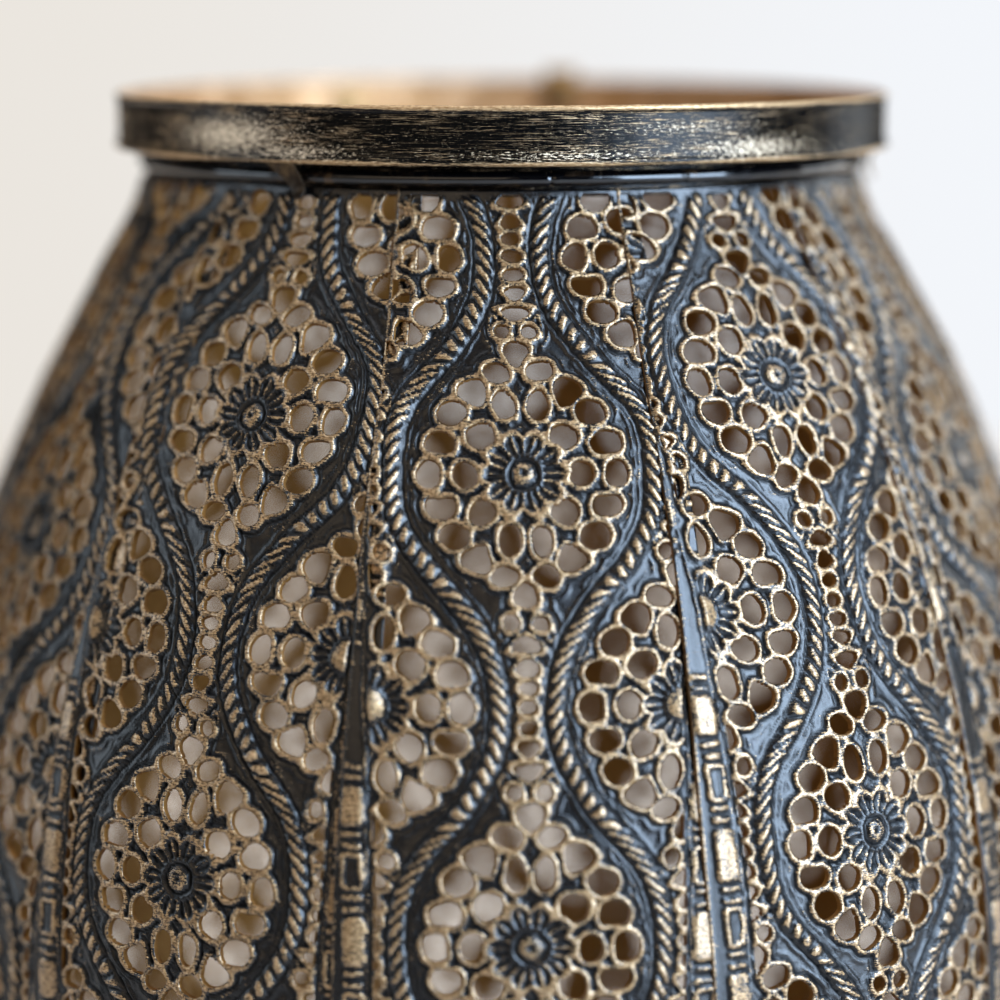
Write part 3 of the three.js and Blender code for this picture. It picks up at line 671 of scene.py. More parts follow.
def build_gore(k, du, dv):
    nv = int(ARC / dv) + 1
    nu = int((134 * math.radians(16.4 + 17.6)) / du) + 1
    v1 = np.linspace(0, ARC, nv)
    q1 = np.linspace(0, 1, nu)
    r, z, nr, nz = meridian(v1)
    th = AXES[k]
    # the cut edges wander a little, as hand shears leave them
    wob = 0.35 * np.sin(v1 / 37.0 + 2.1 * k) + 0.2 * np.sin(v1 / 13.0 + 1.3 * k)
    left = LEFT[k] + 1.1 * smooth(45, 5, v1) * (k == 0)
    base = PHASES[k]

    def pat(U, V):
        """the struck pattern as it lies on this sheet"""
        shift = np.interp(V, [0, 12, 36, 52], [1.5, 1.4, 0.8, 0.0]) if k == 0 else 0.0
        return pattern(U + shift, base + (V - base) * STRETCH[k], base, k, 0.40 if 4 <= k <= 8 else 0.0)
    uL = -r * np.radians(left) + wob
    uR = r * math.radians(17.6) + 0 * v1
    U = uL[:, None] + (uR - uL)[:, None] * q1[None, :]
    V = np.repeat(v1[:, None], nu, 1)
    step_u = (uR - uL) / (nu - 1)
    step_v = v1[1] - v1[0]
    cell = np.maximum(step_u, 0)[:, None] * 0.5 + step_v * 0.5
    edge_room = 0.35
    sd, _, _ = pat(U, V)

    def with_edges(sd, U, V):
        e = np.minimum(U - (np.interp(V, v1, uL) + 0.6), np.interp(V, v1, uR) - 0.8 - U)
        e = np.minimum(e, np.minimum(V - 1.2, ARC - 1.2 - V))
        return np.maximum(sd, np.where(e < 0, 0.3, -9))

    sd = with_edges(sd, U, V)
    su = np.gradient(sd, axis=1) / step_u[:, None]
    sv = (np.gradient(sd, axis=0) - su * np.gradient(U, axis=0)) / step_v
    gl = su * su + sv * sv + 1e-6
    inside = sd < 0
    out = ~inside
    nb = np.zeros_like(inside)
    for a in (-1, 0, 1):
        for b in (-1, 0, 1):
            nb |= np.roll(np.roll(out, a, 0), b, 1)
    snap = (inside & nb & (sd > -0.95 * cell)) | (out & (sd < 0.32 * cell))
    for _ in range(2):
        mv = np.where(snap, sd, 0) / gl
        mu_, mv_ = np.clip(-mv * su, -0.9 * cell, 0.9 * cell), np.clip(-mv * sv, -0.9 * cell, 0.9 * cell)
        U = U + mu_; V = np.clip(V + mv_, 0, ARC)
        sd2, H, G = pat(U, V)
        sd = np.where(snap, with_edges(sd2, U, V), sd)
    sd_now = with_edges(sd2, U, V)
    solid = np.where(snap, True, sd_now > 0)
    centre = (sd_now[:-1, :-1] + sd_now[1:, :-1] + sd_now[:-1, 1:] + sd_now[1:, 1:]) / 4
    keep = solid[:-1, :-1] & solid[1:, :-1] & solid[:-1, 1:] & solid[1:, 1:]
    allsnap = snap[:-1, :-1] & snap[1:, :-1] & snap[:-1, 1:] & snap[1:, 1:]
    cu = (U[:-1, :-1] + U[1:, :-1] + U[:-1, 1:] + U[1:, 1:]) / 4
    cv = (V[:-1, :-1] + V[1:, :-1] + V[:-1, 1:] + V[1:, 1:]) / 4
    cs, _, _ = pat(cu, cv)
    cs = with_edges(cs, cu, cv)
    keep &= ~(allsnap & (cs < 0))
    keep &= cs > -0.12

    # the sheet's own shape: lapped edge stands proud, a slight flat across, soft dents
    r, z, nr, nz = meridian(V)
    a = U / r
    eL = U - np.interp(V, v1, uL)
    eR = np.interp(V, v1, uR) - U
    lap = 1.0 * (1 - smooth(3.2, 7.5, eL)) * smooth(0, 12, V) * smooth(0, 12, ARC - V)
    under = -0.25 * (1 - smooth(2.0, 6.0, eR))
    flat = -0.16 * r * (1 - np.cos(np.clip(np.abs(a), 0, 0.26))) * 0.8
    dent = (0.30 * np.sin(V / 21.0 + k) * np.sin(U / 17.0 + 1.7 * k) + 0.18 * np.sin(V / 9.0 + 2 * k) * np.sin(U / 11.0))
    dent = dent * smooth(0, 20, V) * smooth(0, 20, ARC - V)
    lip = 0.22 * bump(eL - 0.35, 0.5)
    ground = lap + under + flat + dent
    fadeV = smooth(0.6, 3.0, V) * smooth(0.6, 3.0, ARC - V)
    relief = np.maximum(H * smooth(0.3, 0.8, eL) * fadeV, lip)
    G = np.maximum(G * smooth(0.2, 0.6, eL) * fadeV, (0.62 + 0.25 * np.sin(V / 23.0 + 2 * k)) * bump(eL - 0.3, 0.6))
    # how deep each point sits below its surroundings: painted shade in the creases, the paint made black and dull there
    def blur(A, n, axis):
        for _ in range(2):
            c = np.cumsum(np.concatenate([np.repeat(np.take(A, [0], axis), n + 1, axis), A,
                                          np.repeat(np.take(A, [-1], axis), n, axis)], axis), axis)
            m = A.shape[axis]
            A = (np.take(c, np.arange(2 * n + 1, 2 * n + 1 + m), axis) - np.take(c, np.arange(0, m), axis)) / (2 * n + 1)
        return A
    nb_ = max(1, int(round(0.55 / step_v)))
    painted_crease_shade = np.clip((blur(blur(relief, nb_, 0), nb_, 1) - relief - 0.05) / 0.20, 0, 1) * (sd_now > 0.5)
    burr = 0.5 * np.exp(-np.clip(sd_now, 0, None) / 0.4) * (sd_now < 1.5)
    phi = math.radians(th) + np.radians(LEANS[k] * (V - base)) + a

    def world(off):
        rr = r + nr * off
        return np.stack([rr * np.sin(phi), -rr * np.cos(phi), z + nz * off], -1)

    front = world(ground + relief)
    back = world(ground + relief * 0.85 - THICK - burr)

    # indices of used vertices
    ii, jj = np.nonzero(keep)
    used = np.zeros((nv, nu), bool)
    for a_, b_ in ((0, 0), (1, 0), (0, 1), (1, 1)):
        used[ii + a_, jj + b_] = True
    num = -np.ones((nv, nu), int)
    num[used] = np.arange(used.sum())
    N = used.sum()
    A, B, C, D = num[ii, jj], num[ii + 1, jj], num[ii + 1, jj + 1], num[ii, jj + 1]
    quads = [np.stack([A, B, C, D], 1), np.stack([A, D, C, B], 1) + N]
    mats = [np.zeros(len(ii)), np.ones(len(ii))]
    sharp = [np.zeros(len(ii), bool), np.zeros(len(ii), bool)]
    K = np.zeros((nv + 1, nu + 1), bool); K[1:nv, 1:nu] = keep
    walls = []
    # horizontal grid edges between cell rows i-1 and i, from (i, j) to (i, j+1)
    up, dn = K[0:nv, 1:nu], K[1:nv + 1, 1:nu]
    i_, j_ = np.nonzero(dn & ~up)
    walls.append((num[i_, j_], num[i_, j_ + 1]))
    i_, j_ = np.nonzero(up & ~dn)
    walls.append((num[i_, j_ + 1], num[i_, j_]))
    lf, rt = K[1:nv, 0:nu], K[1:nv, 1:nu + 1]
    i_, j_ = np.nonzero(rt & ~lf)
    walls.append((num[i_ + 1, j_], num[i_, j_]))
    i_, j_ = np.nonzero(lf & ~rt)
    walls.append((num[i_, j_], num[i_ + 1, j_]))
    for p, q in walls:
        quads.append(np.stack([p, q, q + N, p + N], 1))
        mats.append(np.ones(len(p))); sharp.append(np.ones(len(p), bool))
    co = np.concatenate([front[used], back[used]])
    sheet = np.stack([U[used] + 91.0 * k, V[used] + 37.0 * k, np.zeros(N)], 1)
    sheet = np.concatenate([sheet, sheet])
    gild = np.concatenate([G[used], 0 * G[used]])
    painted_crease_shades = np.concatenate([painted_crease_shade[used], 0 * G[used]])
    ob = make_mesh("gore_%02d" % (k + 1), co, np.concatenate(quads), np.concatenate(mats),
                   np.concatenate(sharp), {"sheet": sheet, "gild": gild, "painted_crease_shade": painted_crease_shades}, [M_GORE, M_IN])
    return ob


for k in range(12):
    step = (0.44, 0.48) if k in (0, 1, 11) else (0.64, 0.68)
    place(build_gore(k, *step), "lantern", "gore_sheet", "panel_%02d" % (k + 1))


# ------------------------------------------------------------------ turned and bent pieces
def revolve(name, profile, segs, mats, mat_of=None, gild=None, wob=None, rub=None):
    """closed profile [(r, z)] turned about Z; corner points can be repeated to hold a crease"""
    pr = np.asarray(profile, float)
    n = len(pr)
    t = np.arange(segs) * 2 * math.pi / segs
    R = np.repeat(pr[:, 0][:, None], segs, 1); Z = np.repeat(pr[:, 1][:, None], segs, 1)
    T = np.repeat(t[None, :], n, 0)
    if wob is not None:
        dR, dZ = wob(R, Z, T)
        R, Z = R + dR, Z + dZ
    co = np.stack([R * np.sin(T), -R * np.cos(T), Z], -1).reshape(-1, 3)
    i = np.arange(n); j = np.arange(segs)
    I, J = np.meshgrid(i, j, indexing="ij")
    I2, J2 = (I + 1) % n, (J + 1) % segs
    quads = np.stack([I * segs + J, I * segs + J2, I2 * segs + J2, I2 * segs + J], -1).reshape(-1, 4)
    area = 0.0
    for a in range(n):
        b = (a + 1) % n
        area += pr[a, 0] * pr[b, 1] - pr[b, 0] * pr[a, 1]
    if area < 0:
        quads = quads[:, ::-1]
    mi = np.zeros(len(quads))
    if mat_of is not None:
        mi = np.array([mat_of(*((pr[a] + pr[(a + 1) % n]) / 2)) for a in range(n)])
        mi = np.repeat(mi, segs)
    attrs = {}
    arc = (np.where(T > math.pi, T - 2 * math.pi, T)) * 85.0
    attrs["sheet"] = np.stack([arc, Z, 0 * Z], -1).reshape(-1, 3)
    attrs["gild"] = (gild(arc, R, Z) if gild else 0 * R).ravel()
    if rub is not None:
        attrs["rub"] = rub(arc, Z).ravel()
    return make_mesh(name, co, quads, mi, None, attrs, mats)


def disc_turn(name, profile, segs, mats, mat_of=None):
    """open profile that starts and ends on the axis"""
    me = bpy.data.meshes.new(name)
    bm = bmesh.new()
    rings = []
    for r, z in profile:
        if r < 1e-6:
            rings.append([bm.verts.new((0, 0, z * MM))])
        else:
            rings.append([bm.verts.new((r * MM * math.sin(2 * math.pi * i / segs),
                                        -r * MM * math.cos(2 * math.pi * i / segs), z * MM)) for i in range(segs)])
    for a, b in zip(rings[:-1], rings[1:]):
        for i in range(segs):
            j = (i + 1) % segs
            if len(a) == 1 and len(b) == 1:
                continue
            if len(a) == 1:
                bm.faces.new((a[0], b[i], b[j]))
            elif len(b) == 1:
                bm.faces.new((a[i], b[0], a[j]))
            else:
                bm.faces.new((a[i], b[i], b[j], a[j]))
    bmesh.ops.recalc_face_normals(bm, faces=bm.faces)
    for f in bm.faces:
        f.smooth = True
    bm.to_mesh(me); bm.free()
    for m in mats:
        me.materials.append(m)
    ob = bpy.data.objects.new(name, me)
    bpy.context.scene.collection.objects.link(ob)
    return ob


def rounded(points, rad, n=4):
    """rounds the corners of a closed polyline of (r, z)"""
    out = []
    m = len(points)
    for i in range(m):
        p0, p, p1 = (np.array(points[(i + k) % m], float) for k in (-1, 0, 1))
        a, b = p0 - p, p1 - p
        la, lb = np.linalg.norm(a), np.linalg.norm(b)
        d = min(rad, la * 0.45, lb * 0.45)
        s, e = p + a / la * d, p + b / lb * d
        for t in np.linspace(0, 1, n + 1):
            out.append(tuple((1 - t) ** 2 * s + 2 * t * (1 - t) * p + t * t * e))
    return out


def resample_long(points, step):
    out = []
    m = len(points)
    for i in range(m):
        a, b = np.array(points[i]), np.array(points[(i + 1) % m])
        k = max(1, int(np.linalg.norm(b - a) / step))
        for t in range(k):
            out.append(tuple(a + (b - a) * t / k))
    return out


T0 = HEIGHT
RIM = [(84.0, T0 - 10.6), (83.6, T0 - 10.9), (78.0, T0 - 10.9), (76.7, T0 - 12.0), (76.6, T0 - 18.2), (77.1, T0 - 18.2),
       (77.2, T0 - 12.2), (78.2, T0 - 11.4), (83.6, T0 - 11.4), (84.1, T0 - BAND_H), (85.2, T0 - BAND_H), (85.75, T0 - BAND_H + 0.8),
       (85.15, T0 - BAND_H + 1.7), (85.0, T0 - BAND_H + 2.2), (85.0, T0 - 1.5), (85.12, T0 - 1.2), (85.5, T0 - 0.55),
       (85.05, T0 + 0.05), (84.2, T0 + 0.05), (83.85, T0 - 0.5), (84.0, T0 - 1.1)]


def rim_wob(R, Z, T):
    low = 0.10 * np.sin(3 * T + 0.4) + 0.08 * np.sin(5 * T + 2.0)
    fine = 0.05 * np.sin(23 * T) + 0.04 * np.sin(41 * T + 1.0) + 0.03 * np.sin(97 * T + 2.0)
    return low + fine * 0.6, 0.10 * np.sin(2 * T + 1.0) + fine * 0.5


def band_gild(top, bottom):
    def f(arc, R, Z):
        wide = 0.42 + 0.75 * smooth(-46, -12, arc) * (1 - 0.5 * smooth(60, 80, arc)) + 0.08 * np.sin(arc / 4.3) + 0.06 * np.sin(arc / 1.7)
        g = np.clip(1.1 - np.abs(Z - (top - 0.1)) / wide, 0, 1)
        g = np.maximum(g, np.clip(0.66 - np.abs(Z - (bottom + 0.5)) / 1.7 + 0.12 * np.sin(arc / 7.0), 0, 0.66))
        return g * (R > 84.4)
    return f


def rubbed(arc, Z):
    """where the black has been rubbed through"""
    q = 0 * arc
    for a0, z0, wa, wz, k in ((-60, 365.5, 19, 4.6, 1.0), (-44, 362.6, 16, 2.0, 0.8), (54, 363.2, 19, 2.7, 0.85),
                              (38, 367.5, 17, 1.5, 0.6), (12, 362.4, 26, 1.4, 0.6), (140, 366, 24, 4, 0.8), (-170, 364, 25, 3, 0.8),
                              (-118, 367, 20, 3, 0.7), (210, 365, 22, 4, 0.7), (60, 6.0, 24, 4, 0.7), (-40, 5, 22, 3, 0.7), (170, 6, 24, 4, 0.8)):
        q = np.maximum(q, k * np.exp(-((arc - a0) / wa) ** 2 - ((Z - z0) / wz) ** 2))
    return q


rim = revolve("rim_band_rolled", resample_long(rounded(RIM, 0.35, 3), 0.7), 720, [M_RIM, M_RIMIN],
              mat_of=lambda r, z: 1 if (r < 84.35 and (z > T0 - 11.1 or r < 76.9)) else 0, gild=band_gild(T0, T0 - BAND_H), wob=rim_wob, rub=rubbed)
place(rim, "lantern", "hoop", "rim_band")

FOOT = [(78.2, 0.0), (85.0, 0.0), (85.45, 0.6), (85.05, 1.4), (85.0, 2.0), (85.0, BAND_H - 1.9), (85.15, BAND_H - 1.5),
        (85.6, BAND_H - 0.8), (85.2, BAND_H), (84.25, BAND_H), (84.0, BAND_H - 0.4), (84.0, 1.0), (78.2, 1.0)]
foot = revolve("foot_band_rolled", resample_long(rounded(FOOT, 0.3, 3), 0.8), 540, [M_RIM, M_RIMIN],
               mat_of=lambda r, z: 1 if (r < 84.35 or z < 0.02) else 0, gild=band_gild(BAND_H, 0.0),
               wob=lambda R, Z, T: (0.08 * np.sin(4 * T) * (R > 83), 0 * Z), rub=rubbed)
place(foot, "lantern", "hoop", "foot_band")


def wire(name, z, seed, node):
    """wire ring with its butt joints and the flats the claws press into it"""
    n = 14
    pr = [(79.2 + 1.5 * math.cos(2 * math.pi * i / n), z + 1.5 * math.sin(2 * math.pi * i / n)) for i in range(n)]

    def wob(R, Z, T):
        dr, dz = R - 79.2, Z - z
        k = 0 * T
        for j in (7.0 * math.pi / 180, 27.0 * math.pi / 180, 193.0 * math.pi / 180):
            k = k - 0.30 * np.exp(-((T - j) * 79.2 / 0.35) ** 2)
        k = k + 0.02 * np.sin(31 * T + seed) + 0.02 * np.sin(67 * T)
        return dr * k + 0.12 * np.sin(3 * T + seed), dz * k + 0.14 * np.sin(2 * T + 2 * seed)

    ob = revolve(name, pr, 1080, [M_WIRE], wob=wob)
    return place(ob, "lantern", "black_wire", node)


wire("neck_wire_ring", T0 - 14.5, 0.3, "neck_wire")
wire("base_wire_ring", 14.5, 1.9, "base_wire")


def claw(name, deg, flip, curl, node):
    """tapered tongue folded from inside the hoop over the wire, its tip curled under"""
    path = [(83.3, 2.6, 3.7), (83.3, 6.0, 3.6), (83.25, 9.4, 3.4), (83.0, 11.4, 3.2), (82.3, 13.2, 2.9),
            (81.75, 14.6, 2.45), (81.55, 15.9, 2.0), (81.7, 17.0, 1.6), (82.1, 17.9, 1.2), (82.7, 18.5, 0.8)]
    path = np.array(path)
    t = np.linspace(0, len(path) - 1, 46)
    P = np.stack([pchip(np.arange(len(path)), path[:, c], t) for c in range(3)], 1)
    dr, dd = np.gradient(P[:, 0]), np.gradient(P[:, 1])
    l = np.hypot(dr, dd); nr, nd = dd / l, -dr / l
    cols = 9
    top, bot = [], []
    for i in range(len(P)):
        r, d, w = P[i]
        lean = curl * smooth(10.5, 19.0, d) * 4.4
        ro, bo = [], []
        for j in range(cols):
            x = -1 + 2 * j / (cols - 1)
            crown = 0.22 * (1 - x * x)
            ham = 0.05 * math.sin(5 * x + 0.9 * i + deg)
            for off, dst in ((crown + ham, ro), (-0.55 + crown * 0.6, bo)):
                rr, zz = r + nr[i] * off, d + nd[i] * off
                dst.append((rr, x * w + lean, zz))
        top.append(ro); bot.append(bo)
    co = []
    s, c = math.sin(math.radians(deg)), math.cos(math.radians(deg))
    for g in (top, bot):
        for row in g:
            for rr, x, zz in row:
                z = (zz if flip else HEIGHT - zz)
                co.append((rr * s + x * c, -rr * c + x * s, z))
    R = len(P); N = R * cols
    q = []
    for i in range(R - 1):
        for j in range(cols - 1):
            a, b, c_, d_ = i * cols + j, (i + 1) * cols + j, (i + 1) * cols + j + 1, i * cols + j + 1
            q.append((a, b, c_, d_)); q.append((a + N, d_ + N, c_ + N, b + N))
    for i in range(R - 1):
        a, b = i * cols, (i + 1) * cols
        q.append((a, a + N, b + N, b))
        a, b = i * cols + cols - 1, (i + 1) * cols + cols - 1
        q.append((a, b, b + N, a + N))
    for j in range(cols - 1):
        q.append((j, j + 1, j + 1 + N, j + N))
        a = (R - 1) * cols + j
        q.append((a, a + N, a + 1 + N, a + 1))
    q = np.array(q)
    if flip:
        q = q[:, ::-1]
    co = np.array(co)
    ob = make_mesh(name, co, q, np.zeros(len(q)), None, {}, [M_CLAW])
    bev = ob.modifiers.new("edges", "BEVEL"); bev.width = 0.00012; bev.segments = 2; bev.limit_method = "ANGLE"
    place(ob, "lantern", "gold_clip", node)
    return ob


for i, deg in enumerate((-32.6, 87.4, 207.4)):
    claw("rim_claw_%d_tongue" % (i + 1), deg, False, (1.0, -0.5, 0.8)[i], "rim_claw_%d" % (i + 1))
    claw("foot_claw_%d_tongue" % (i + 1), deg, True, (0.6, 0.8, -0.6)[i], "foot_claw_%d" % (i + 1))


def extruded(name, outline, width, deg, z0, mats, body, slot, node, bevel=0.2):
    """closed outline in (radius, z) swept across the tangent direction, edges rounded"""
    bm = bmesh.new()
    s, c = math.sin(math.radians(deg)), math.cos(math.radians(deg))
    vs = []
    steps = 7
    for k in range(steps):
        x = -width / 2 + width * k / (steps - 1)
        vs.append([bm.verts.new(((r * s + x * c) * MM, (-r * c + x * s) * MM, (z0 + z) * MM)) for r, z in outline])
    n = len(outline)
    for a, b in zip(vs[:-1], vs[1:]):
        for i in range(n):
            bm.faces.new((a[i], a[(i + 1) % n], b[(i + 1) % n], b[i]))
    bm.faces.new(vs[0][::-1]); bm.faces.new(vs[-1])
    bmesh.ops.recalc_face_normals(bm, faces=bm.faces)
    me = bpy.data.meshes.new(name); bm.to_mesh(me); bm.free()
    for f in me.polygons:
        f.use_smooth = True
    for m in mats:
        me.materials.append(m)
    ob = bpy.data.objects.new(name, me)
    bpy.context.scene.collection.objects.link(ob)
    b = ob.modifiers.new("edges", "BEVEL"); b.width = bevel * MM; b.segments = 3; b.limit_method = "ANGLE"
    b.harden_normals = True
    return place(ob, body, slot, node)


CLIP = [(82.5, -8), (82.45, -4), (82.5, 0.8), (82.9, 1.9), (83.8, 2.6), (85.0, 2.6), (86.0, 1.9), (86.5, 0.7), (86.5, -4),
        (86.55, -8), (85.75, -8), (85.7, -4), (85.7, 0.3), (85.4, 0.9), (84.6, 1.25), (83.7, 0.9), (83.3, 0.3), (83.3, -4), (83.3, -8)]
extruded("rim_joint_saddle", CLIP, 8.0, 170, T0, [M_CLAW], "lantern", "gold_clip", "rim_joint_clip")

# ------------------------------------------------------------------ floor disc and insert
PZ, PT = 11.7, 12.7
plate = [(0, PZ), (30, PZ), (60, PZ), (76, PZ), (79.9, PZ + 0.05), (80.4, PZ + 0.3), (80.4, PT - 0.3), (79.9, PT - 0.02),
         (76, PT), (70, PT), (68.8, PT - 0.25), (67.6, PT), (40, PT), (38.8, PT - 0.25), (37.6, PT), (0, PT)]
place(disc_turn("base_plate_beaded", plate, 180, [M_TRAY]), "lantern", "plain_gold_sheet", "base_plate")
TZ = 13.0; TT = 14.0
tray = [(0, TZ), (30, TZ), (57.5, TZ), (59.5, TZ + 0.35), (61.2, TZ + 1.8), (62.0, TZ + 4.0), (62.3, TZ + 7.2),
        (62.9, TZ + 8.2), (63.4, TZ + 8.9), (63.2, TZ + 9.4), (62.5, TZ + 9.6), (61.7, TZ + 9.2), (61.3, TZ + 8.0), (61.0, TZ + 4.4), (60.2, TZ + 2.5),
        (58.8, TZ + 1.3), (57.0, TT), (54.5, TT), (53.8, TT + 0.18), (53.1, TT), (30, TT), (0, TT)]
place(disc_turn("candle_tray_dish", tray, 180, [M_TRAY]), "tray", "plain_gold_sheet", "candle_tray")
FZ = TT + 0.3; FT = FZ + 1.0
pin = [(0, FZ), (6.7, FZ), (7.0, FZ + 0.3), (7.0, FT - 0.3), (6.7, FT), (2.2, FT), (1.7, FT + 0.25), (1.5, FT + 0.8), (1.35, FT + 8), (1.2, FT + 14), (0.5, FT + 16.8),
       (0, FT + 18)]
place(disc_turn("candle_pin_spike", pin, 48, [mat_steel()]), "tray", "pin_steel", "candle_pin")
CT = 84.0
wax = [(0, FT + 19), (1.6, FT + 14), (1.9, FT + 0.3), (7.4, FT + 0.3), (7.4, FZ), (24.0, FZ), (24.7, FZ + 0.35), (25, FZ + 1.1),
       (24.95, 34), (25.0, 55), (24.95, 72), (25.0, CT - 2.6), (24.75, CT - 1.0), (24.1, CT - 0.15), (23.2, CT), (22.0, CT - 0.4), (18, CT - 1.7), (12, CT - 2.5), (6, CT - 2.9),
       (2.6, CT - 2.9), (1.5, CT - 2.6), (1.2, CT - 2.9), (1.2, CT - 7.3), (0, CT - 7.3)]
wax_ob = disc_turn("candle_body_wax", wax, 120, [mat_wax()])
me = wax_ob.data                                   # a soft, slightly slumped rim
for v in me.vertices:
    if v.co.z > 0.078:
        a = math.atan2(v.co.x, -v.co.y)
        v.co.z += 0.0006 * (math.sin(3 * a + 1) + 0.6 * math.sin(5 * a)) * (math.hypot(v.co.x, v.co.y) / 0.025) - 0.0006
place(wax_ob, "candle_body", "wax", "candle")

# braided wick, bent at the top
wk = bmesh.new()
rings = []
for i in range(40):
    z = CT - 7.0 + 15.0 * i / 39
    bend = max(0.0, z - CT - 2.0)
    cx, cy = 0.055 * bend ** 2, -0.02 * bend ** 2
    ring = []
    for j in range(14):
        a = 2 * math.pi * j / 14
        rr = 0.78 + 0.14 * math.cos(3 * a + z * 2.1)
        ring.append(wk.verts.new(((cx + rr * math.cos(a)) * MM, (cy + rr * math.sin(a)) * MM, z * MM)))
    rings.append(ring)
for a, b in zip(rings[:-1], rings[1:]):
    for j in range(14):
        wk.faces.new((a[j], a[(j + 1) % 14], b[(j + 1) % 14], b[j]))
wk.faces.new(rings[0][::-1]); wk.faces.new(rings[-1])
me = bpy.data.meshes.new("candle_wick_braid"); wk.to_mesh(me); wk.free()
for f in me.polygons:
    f.use_smooth = True
me.materials.append(mat_wick())
wick = bpy.data.objects.new("candle_wick_braid", me); bpy.context.scene.collection.objects.link(wick)
place(wick, "candle_body", "wick", "candle_wick")

GZ = TT + 0.3
GL = [(47.9, GZ + 1.0), (48.1, GZ + 0.25), (48.8, GZ), (49.5, GZ + 0.25), (49.8, GZ + 1.0), (49.9, 40), (50.0, 70), (49.9, 100), (49.8, 121.8),
      (50.2, 123.0), (49.9, 123.9), (49.0, 124.2), (48.1, 123.8), (47.9, 122.6), (48.0, 100), (48.05, 70), (48.0, 40)]
gl = revolve("glass_chimney_blown", GL, 160, [mat_glass()],
             wob=lambda R, Z, T: (0.12 * np.sin(2 * T + Z / 30) + 0.05 * np.sin(5 * T), 0.08 * np.sin(3 * T)))
place(gl, "glass", "clear_glass", "glass_chimney")

# ------------------------------------------------------------------ stage, light, camera
scene = bpy.context.scene


def stage_mesh(name, verts, faces, mat):
    me = bpy.data.meshes.new(name)
    me.from_pydata(verts, [], faces); me.update()
    me.materials.append(mat)
    ob = bpy.data.objects.new(name, me)
    scene.collection.objects.link(ob)
    return ob


def mat_floor():
    n = Nodes("floor_paper")
    p = n.coord("Object")
    part = n.t.nodes.new("ShaderNodeSeparateXYZ")
    n.t.links.new(p, part.inputs[0])
    far = n.ramp(part.outputs[1], -0.15, 0.55)
    fibre = n.noise(n.mapping(p, (1000, 1000, 1000)), 0.6, 4, 0.6)
    near = n.mix(fibre, (0.42, 0.395, 0.37), (0.45, 0.42, 0.395))
    back = n.mix(fibre, (0.86, 0.735, 0.61), (0.89, 0.765, 0.64))
    n.set(color=n.mix(far, near, back), rough=0.85, spec=0.2, normal=n.bump(fibre, 0.1, 0.0001))
    return n.mat


paper = mat_floor()
ring_r = [0.0, 0.15, 0.3, 0.5, 0.8, 1.2, 1.75]
vs, fs = [(0, 0, -0.0002)], []
S = 96
for r in ring_r[1:]:
    for j in range(S):
        a = 2 * math.pi * j / S
        vs.append((r * math.sin(a), -r * math.cos(a), -0.0002))
for j in range(S):
    fs.append((0, 1 + j, 1 + (j + 1) % S))
for i in range(len(ring_r) - 2):
    for j in range(S):
        a, b = 1 + i * S + j, 1 + i * S + (j + 1) % S
        fs.append((a, a + S, b + S, b))
floor = stage_mesh("floor_disc", vs, fs, paper)

# the studio round it: pale for the eye, darker towards the front for the reflections
world = bpy.data.worlds.new("studio"); scene.world = world
world.use_nodes = True
W = Nodes.__new__(Nodes)
W.t = world.node_tree
W.t.nodes.clear()
wout = W.t.nodes.new("ShaderNodeOutputWorld")
wbg = W.t.nodes.new("ShaderNodeBackground")
W.t.links.new(wbg.outputs[0], wout.inputs[0])
sep = W.t.nodes.new("ShaderNodeSeparateXYZ")
W.t.links.new(W.coord("Generated"), sep.inputs[0])
dx, dy, dz = sep.outputs
seen = W.mix(W.ramp(dx, -0.19, 0.19), (0.83, 0.79, 0.735), (0.90, 0.925, 0.965))
env = W.mix(W.ramp(dy, -0.35, 0.75), (0.10, 0.085, 0.075), (0.80, 0.77, 0.73))
env = W.mix(W.ramp(dz, 0.35, 0.9), env, (0.55, 0.54, 0.53))
gloss = W.mix(W.ramp(dy, -0.2, 0.9), (0.012, 0.010, 0.009), (0.09, 0.083, 0.075))
path = W.t.nodes.new("ShaderNodeLightPath")
env = W.mix(path.outputs["Is Glossy Ray"], env, gloss)
env = W.mix(path.outputs["Is Transmission Ray"], env, seen)
W.put(wbg.inputs[0], W.mix(path.outputs["Is Camera Ray"], env, seen))
wbg.inputs[1].default_value = 1.0


def area(name, loc, target, sx, sy, power, color, spread=None):
    d = bpy.data.lights.new(name, "AREA"); d.shape = "RECTANGLE"
    d.size, d.size_y, d.energy, d.color = sx, sy, power, color
    if spread:
        d.spread = math.radians(spread)
    o = bpy.data.objects.new(name, d); scene.collection.objects.link(o)
    o.location = loc
    o.rotation_euler = (Vector(target) - Vector(loc)).to_track_quat("-Z", "Y").to_euler()
    return o


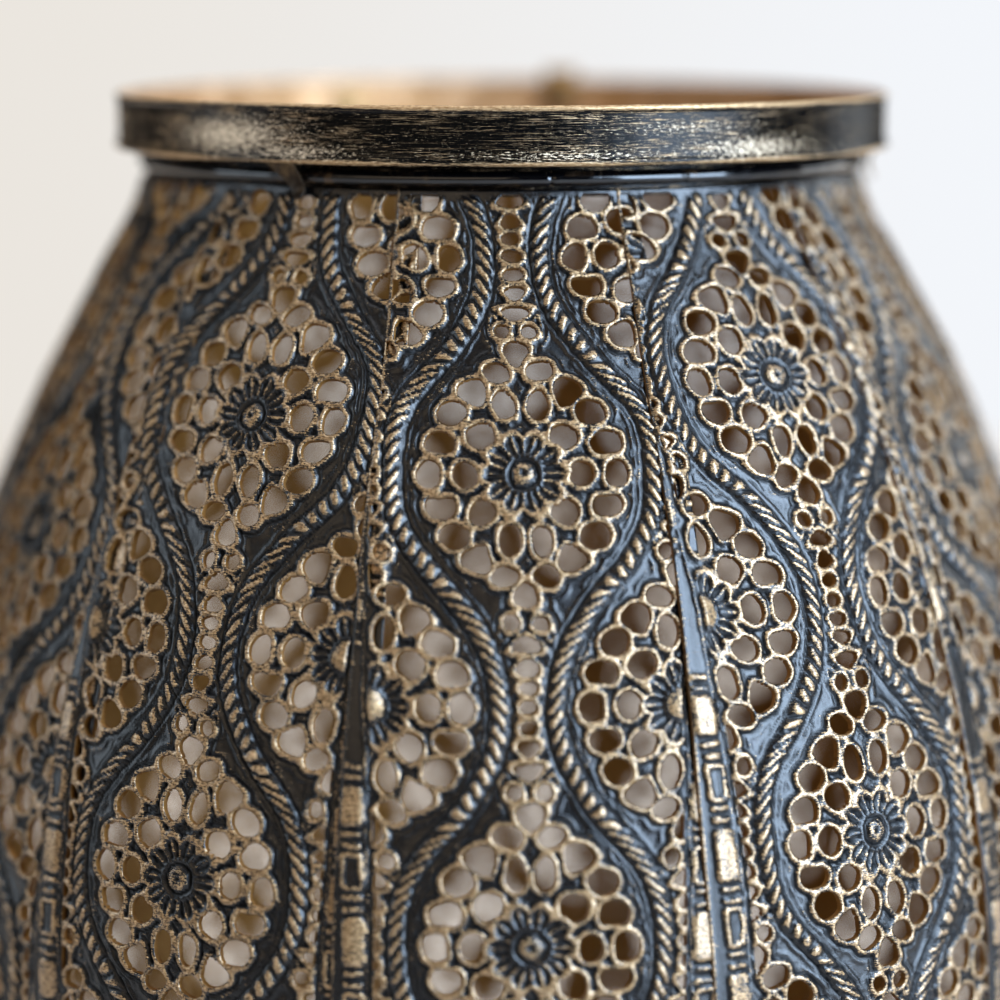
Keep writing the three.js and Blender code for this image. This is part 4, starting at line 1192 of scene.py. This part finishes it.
C = (0, 0, 0.25)
area("window_right", (1.36, -1.04, 0.85), C, 1.20, 1.80, 112, (0.58, 0.76, 1.0))
area("window_back_right", (1.45, 0.9, 0.8), C, 0.9, 1.4, 12, (0.86, 0.93, 1.0))
area("window_left", (-1.75, -0.15, 0.8), C, 0.8, 1.4, 9, (0.76, 0.88, 1.0))
area("warm_left", (-1.0, -2.0, 1.3), C, 2.2, 1.6, 11, (1.0, 0.81, 0.60))
area("soft_top", (0.0, 0.25, 1.9), C, 1.8, 1.8, 18, (0.97, 0.97, 1.0))

cam_d = bpy.data.cameras.new("camera")
cam = bpy.data.objects.new("camera", cam_d); scene.collection.objects.link(cam)
scene.camera = cam
DIST, PITCH_CAM, ABOVE = 0.640, math.radians(10.22), 0.0226
cam_d.lens = 36.0 * 2841 / 1000.0
cam_d.sensor_width = 36.0
cam_d.sensor_fit = "HORIZONTAL"
cam.location = (0, -DIST, HEIGHT * MM + ABOVE)
fwd = Vector((0, math.cos(PITCH_CAM), -math.sin(PITCH_CAM)))
cam.rotation_mode = "QUATERNION"
cam.rotation_quaternion = fwd.to_track_quat("-Z", "Y")
cam_d.shift_x = -0.002
cam_d.clip_start = 0.02
cam_d.clip_end = 50
cam_d.dof.use_dof = True
focus = bpy.data.objects.new("focus_point", None); scene.collection.objects.link(focus)
focus.location = (0.02, -0.0971, 0.30)
cam_d.dof.focus_object = focus
# the lens is wide open only at the close-up distance, and stopped down further off
drv = cam_d.dof.driver_add("aperture_fstop").driver
drv.type = "SCRIPTED"
for axis, name in (("LOC_X", "x"), ("LOC_Y", "y"), ("LOC_Z", "z")):
    var = drv.variables.new(); var.name = name; var.type = "TRANSFORMS"
    var.targets[0].id = cam; var.targets[0].transform_type = axis; var.targets[0].transform_space = "WORLD_SPACE"
drv.expression = "3.5 + 400 * max(0, x*x + (y + 0.64)*(y + 0.64) + (z - 0.3946)*(z - 0.3946) - 0.01)"

scene.view_settings.view_transform = "Standard"
scene.view_settings.look = "None"
scene.view_settings.exposure = 0.0
scene.view_settings.gamma = 1.0
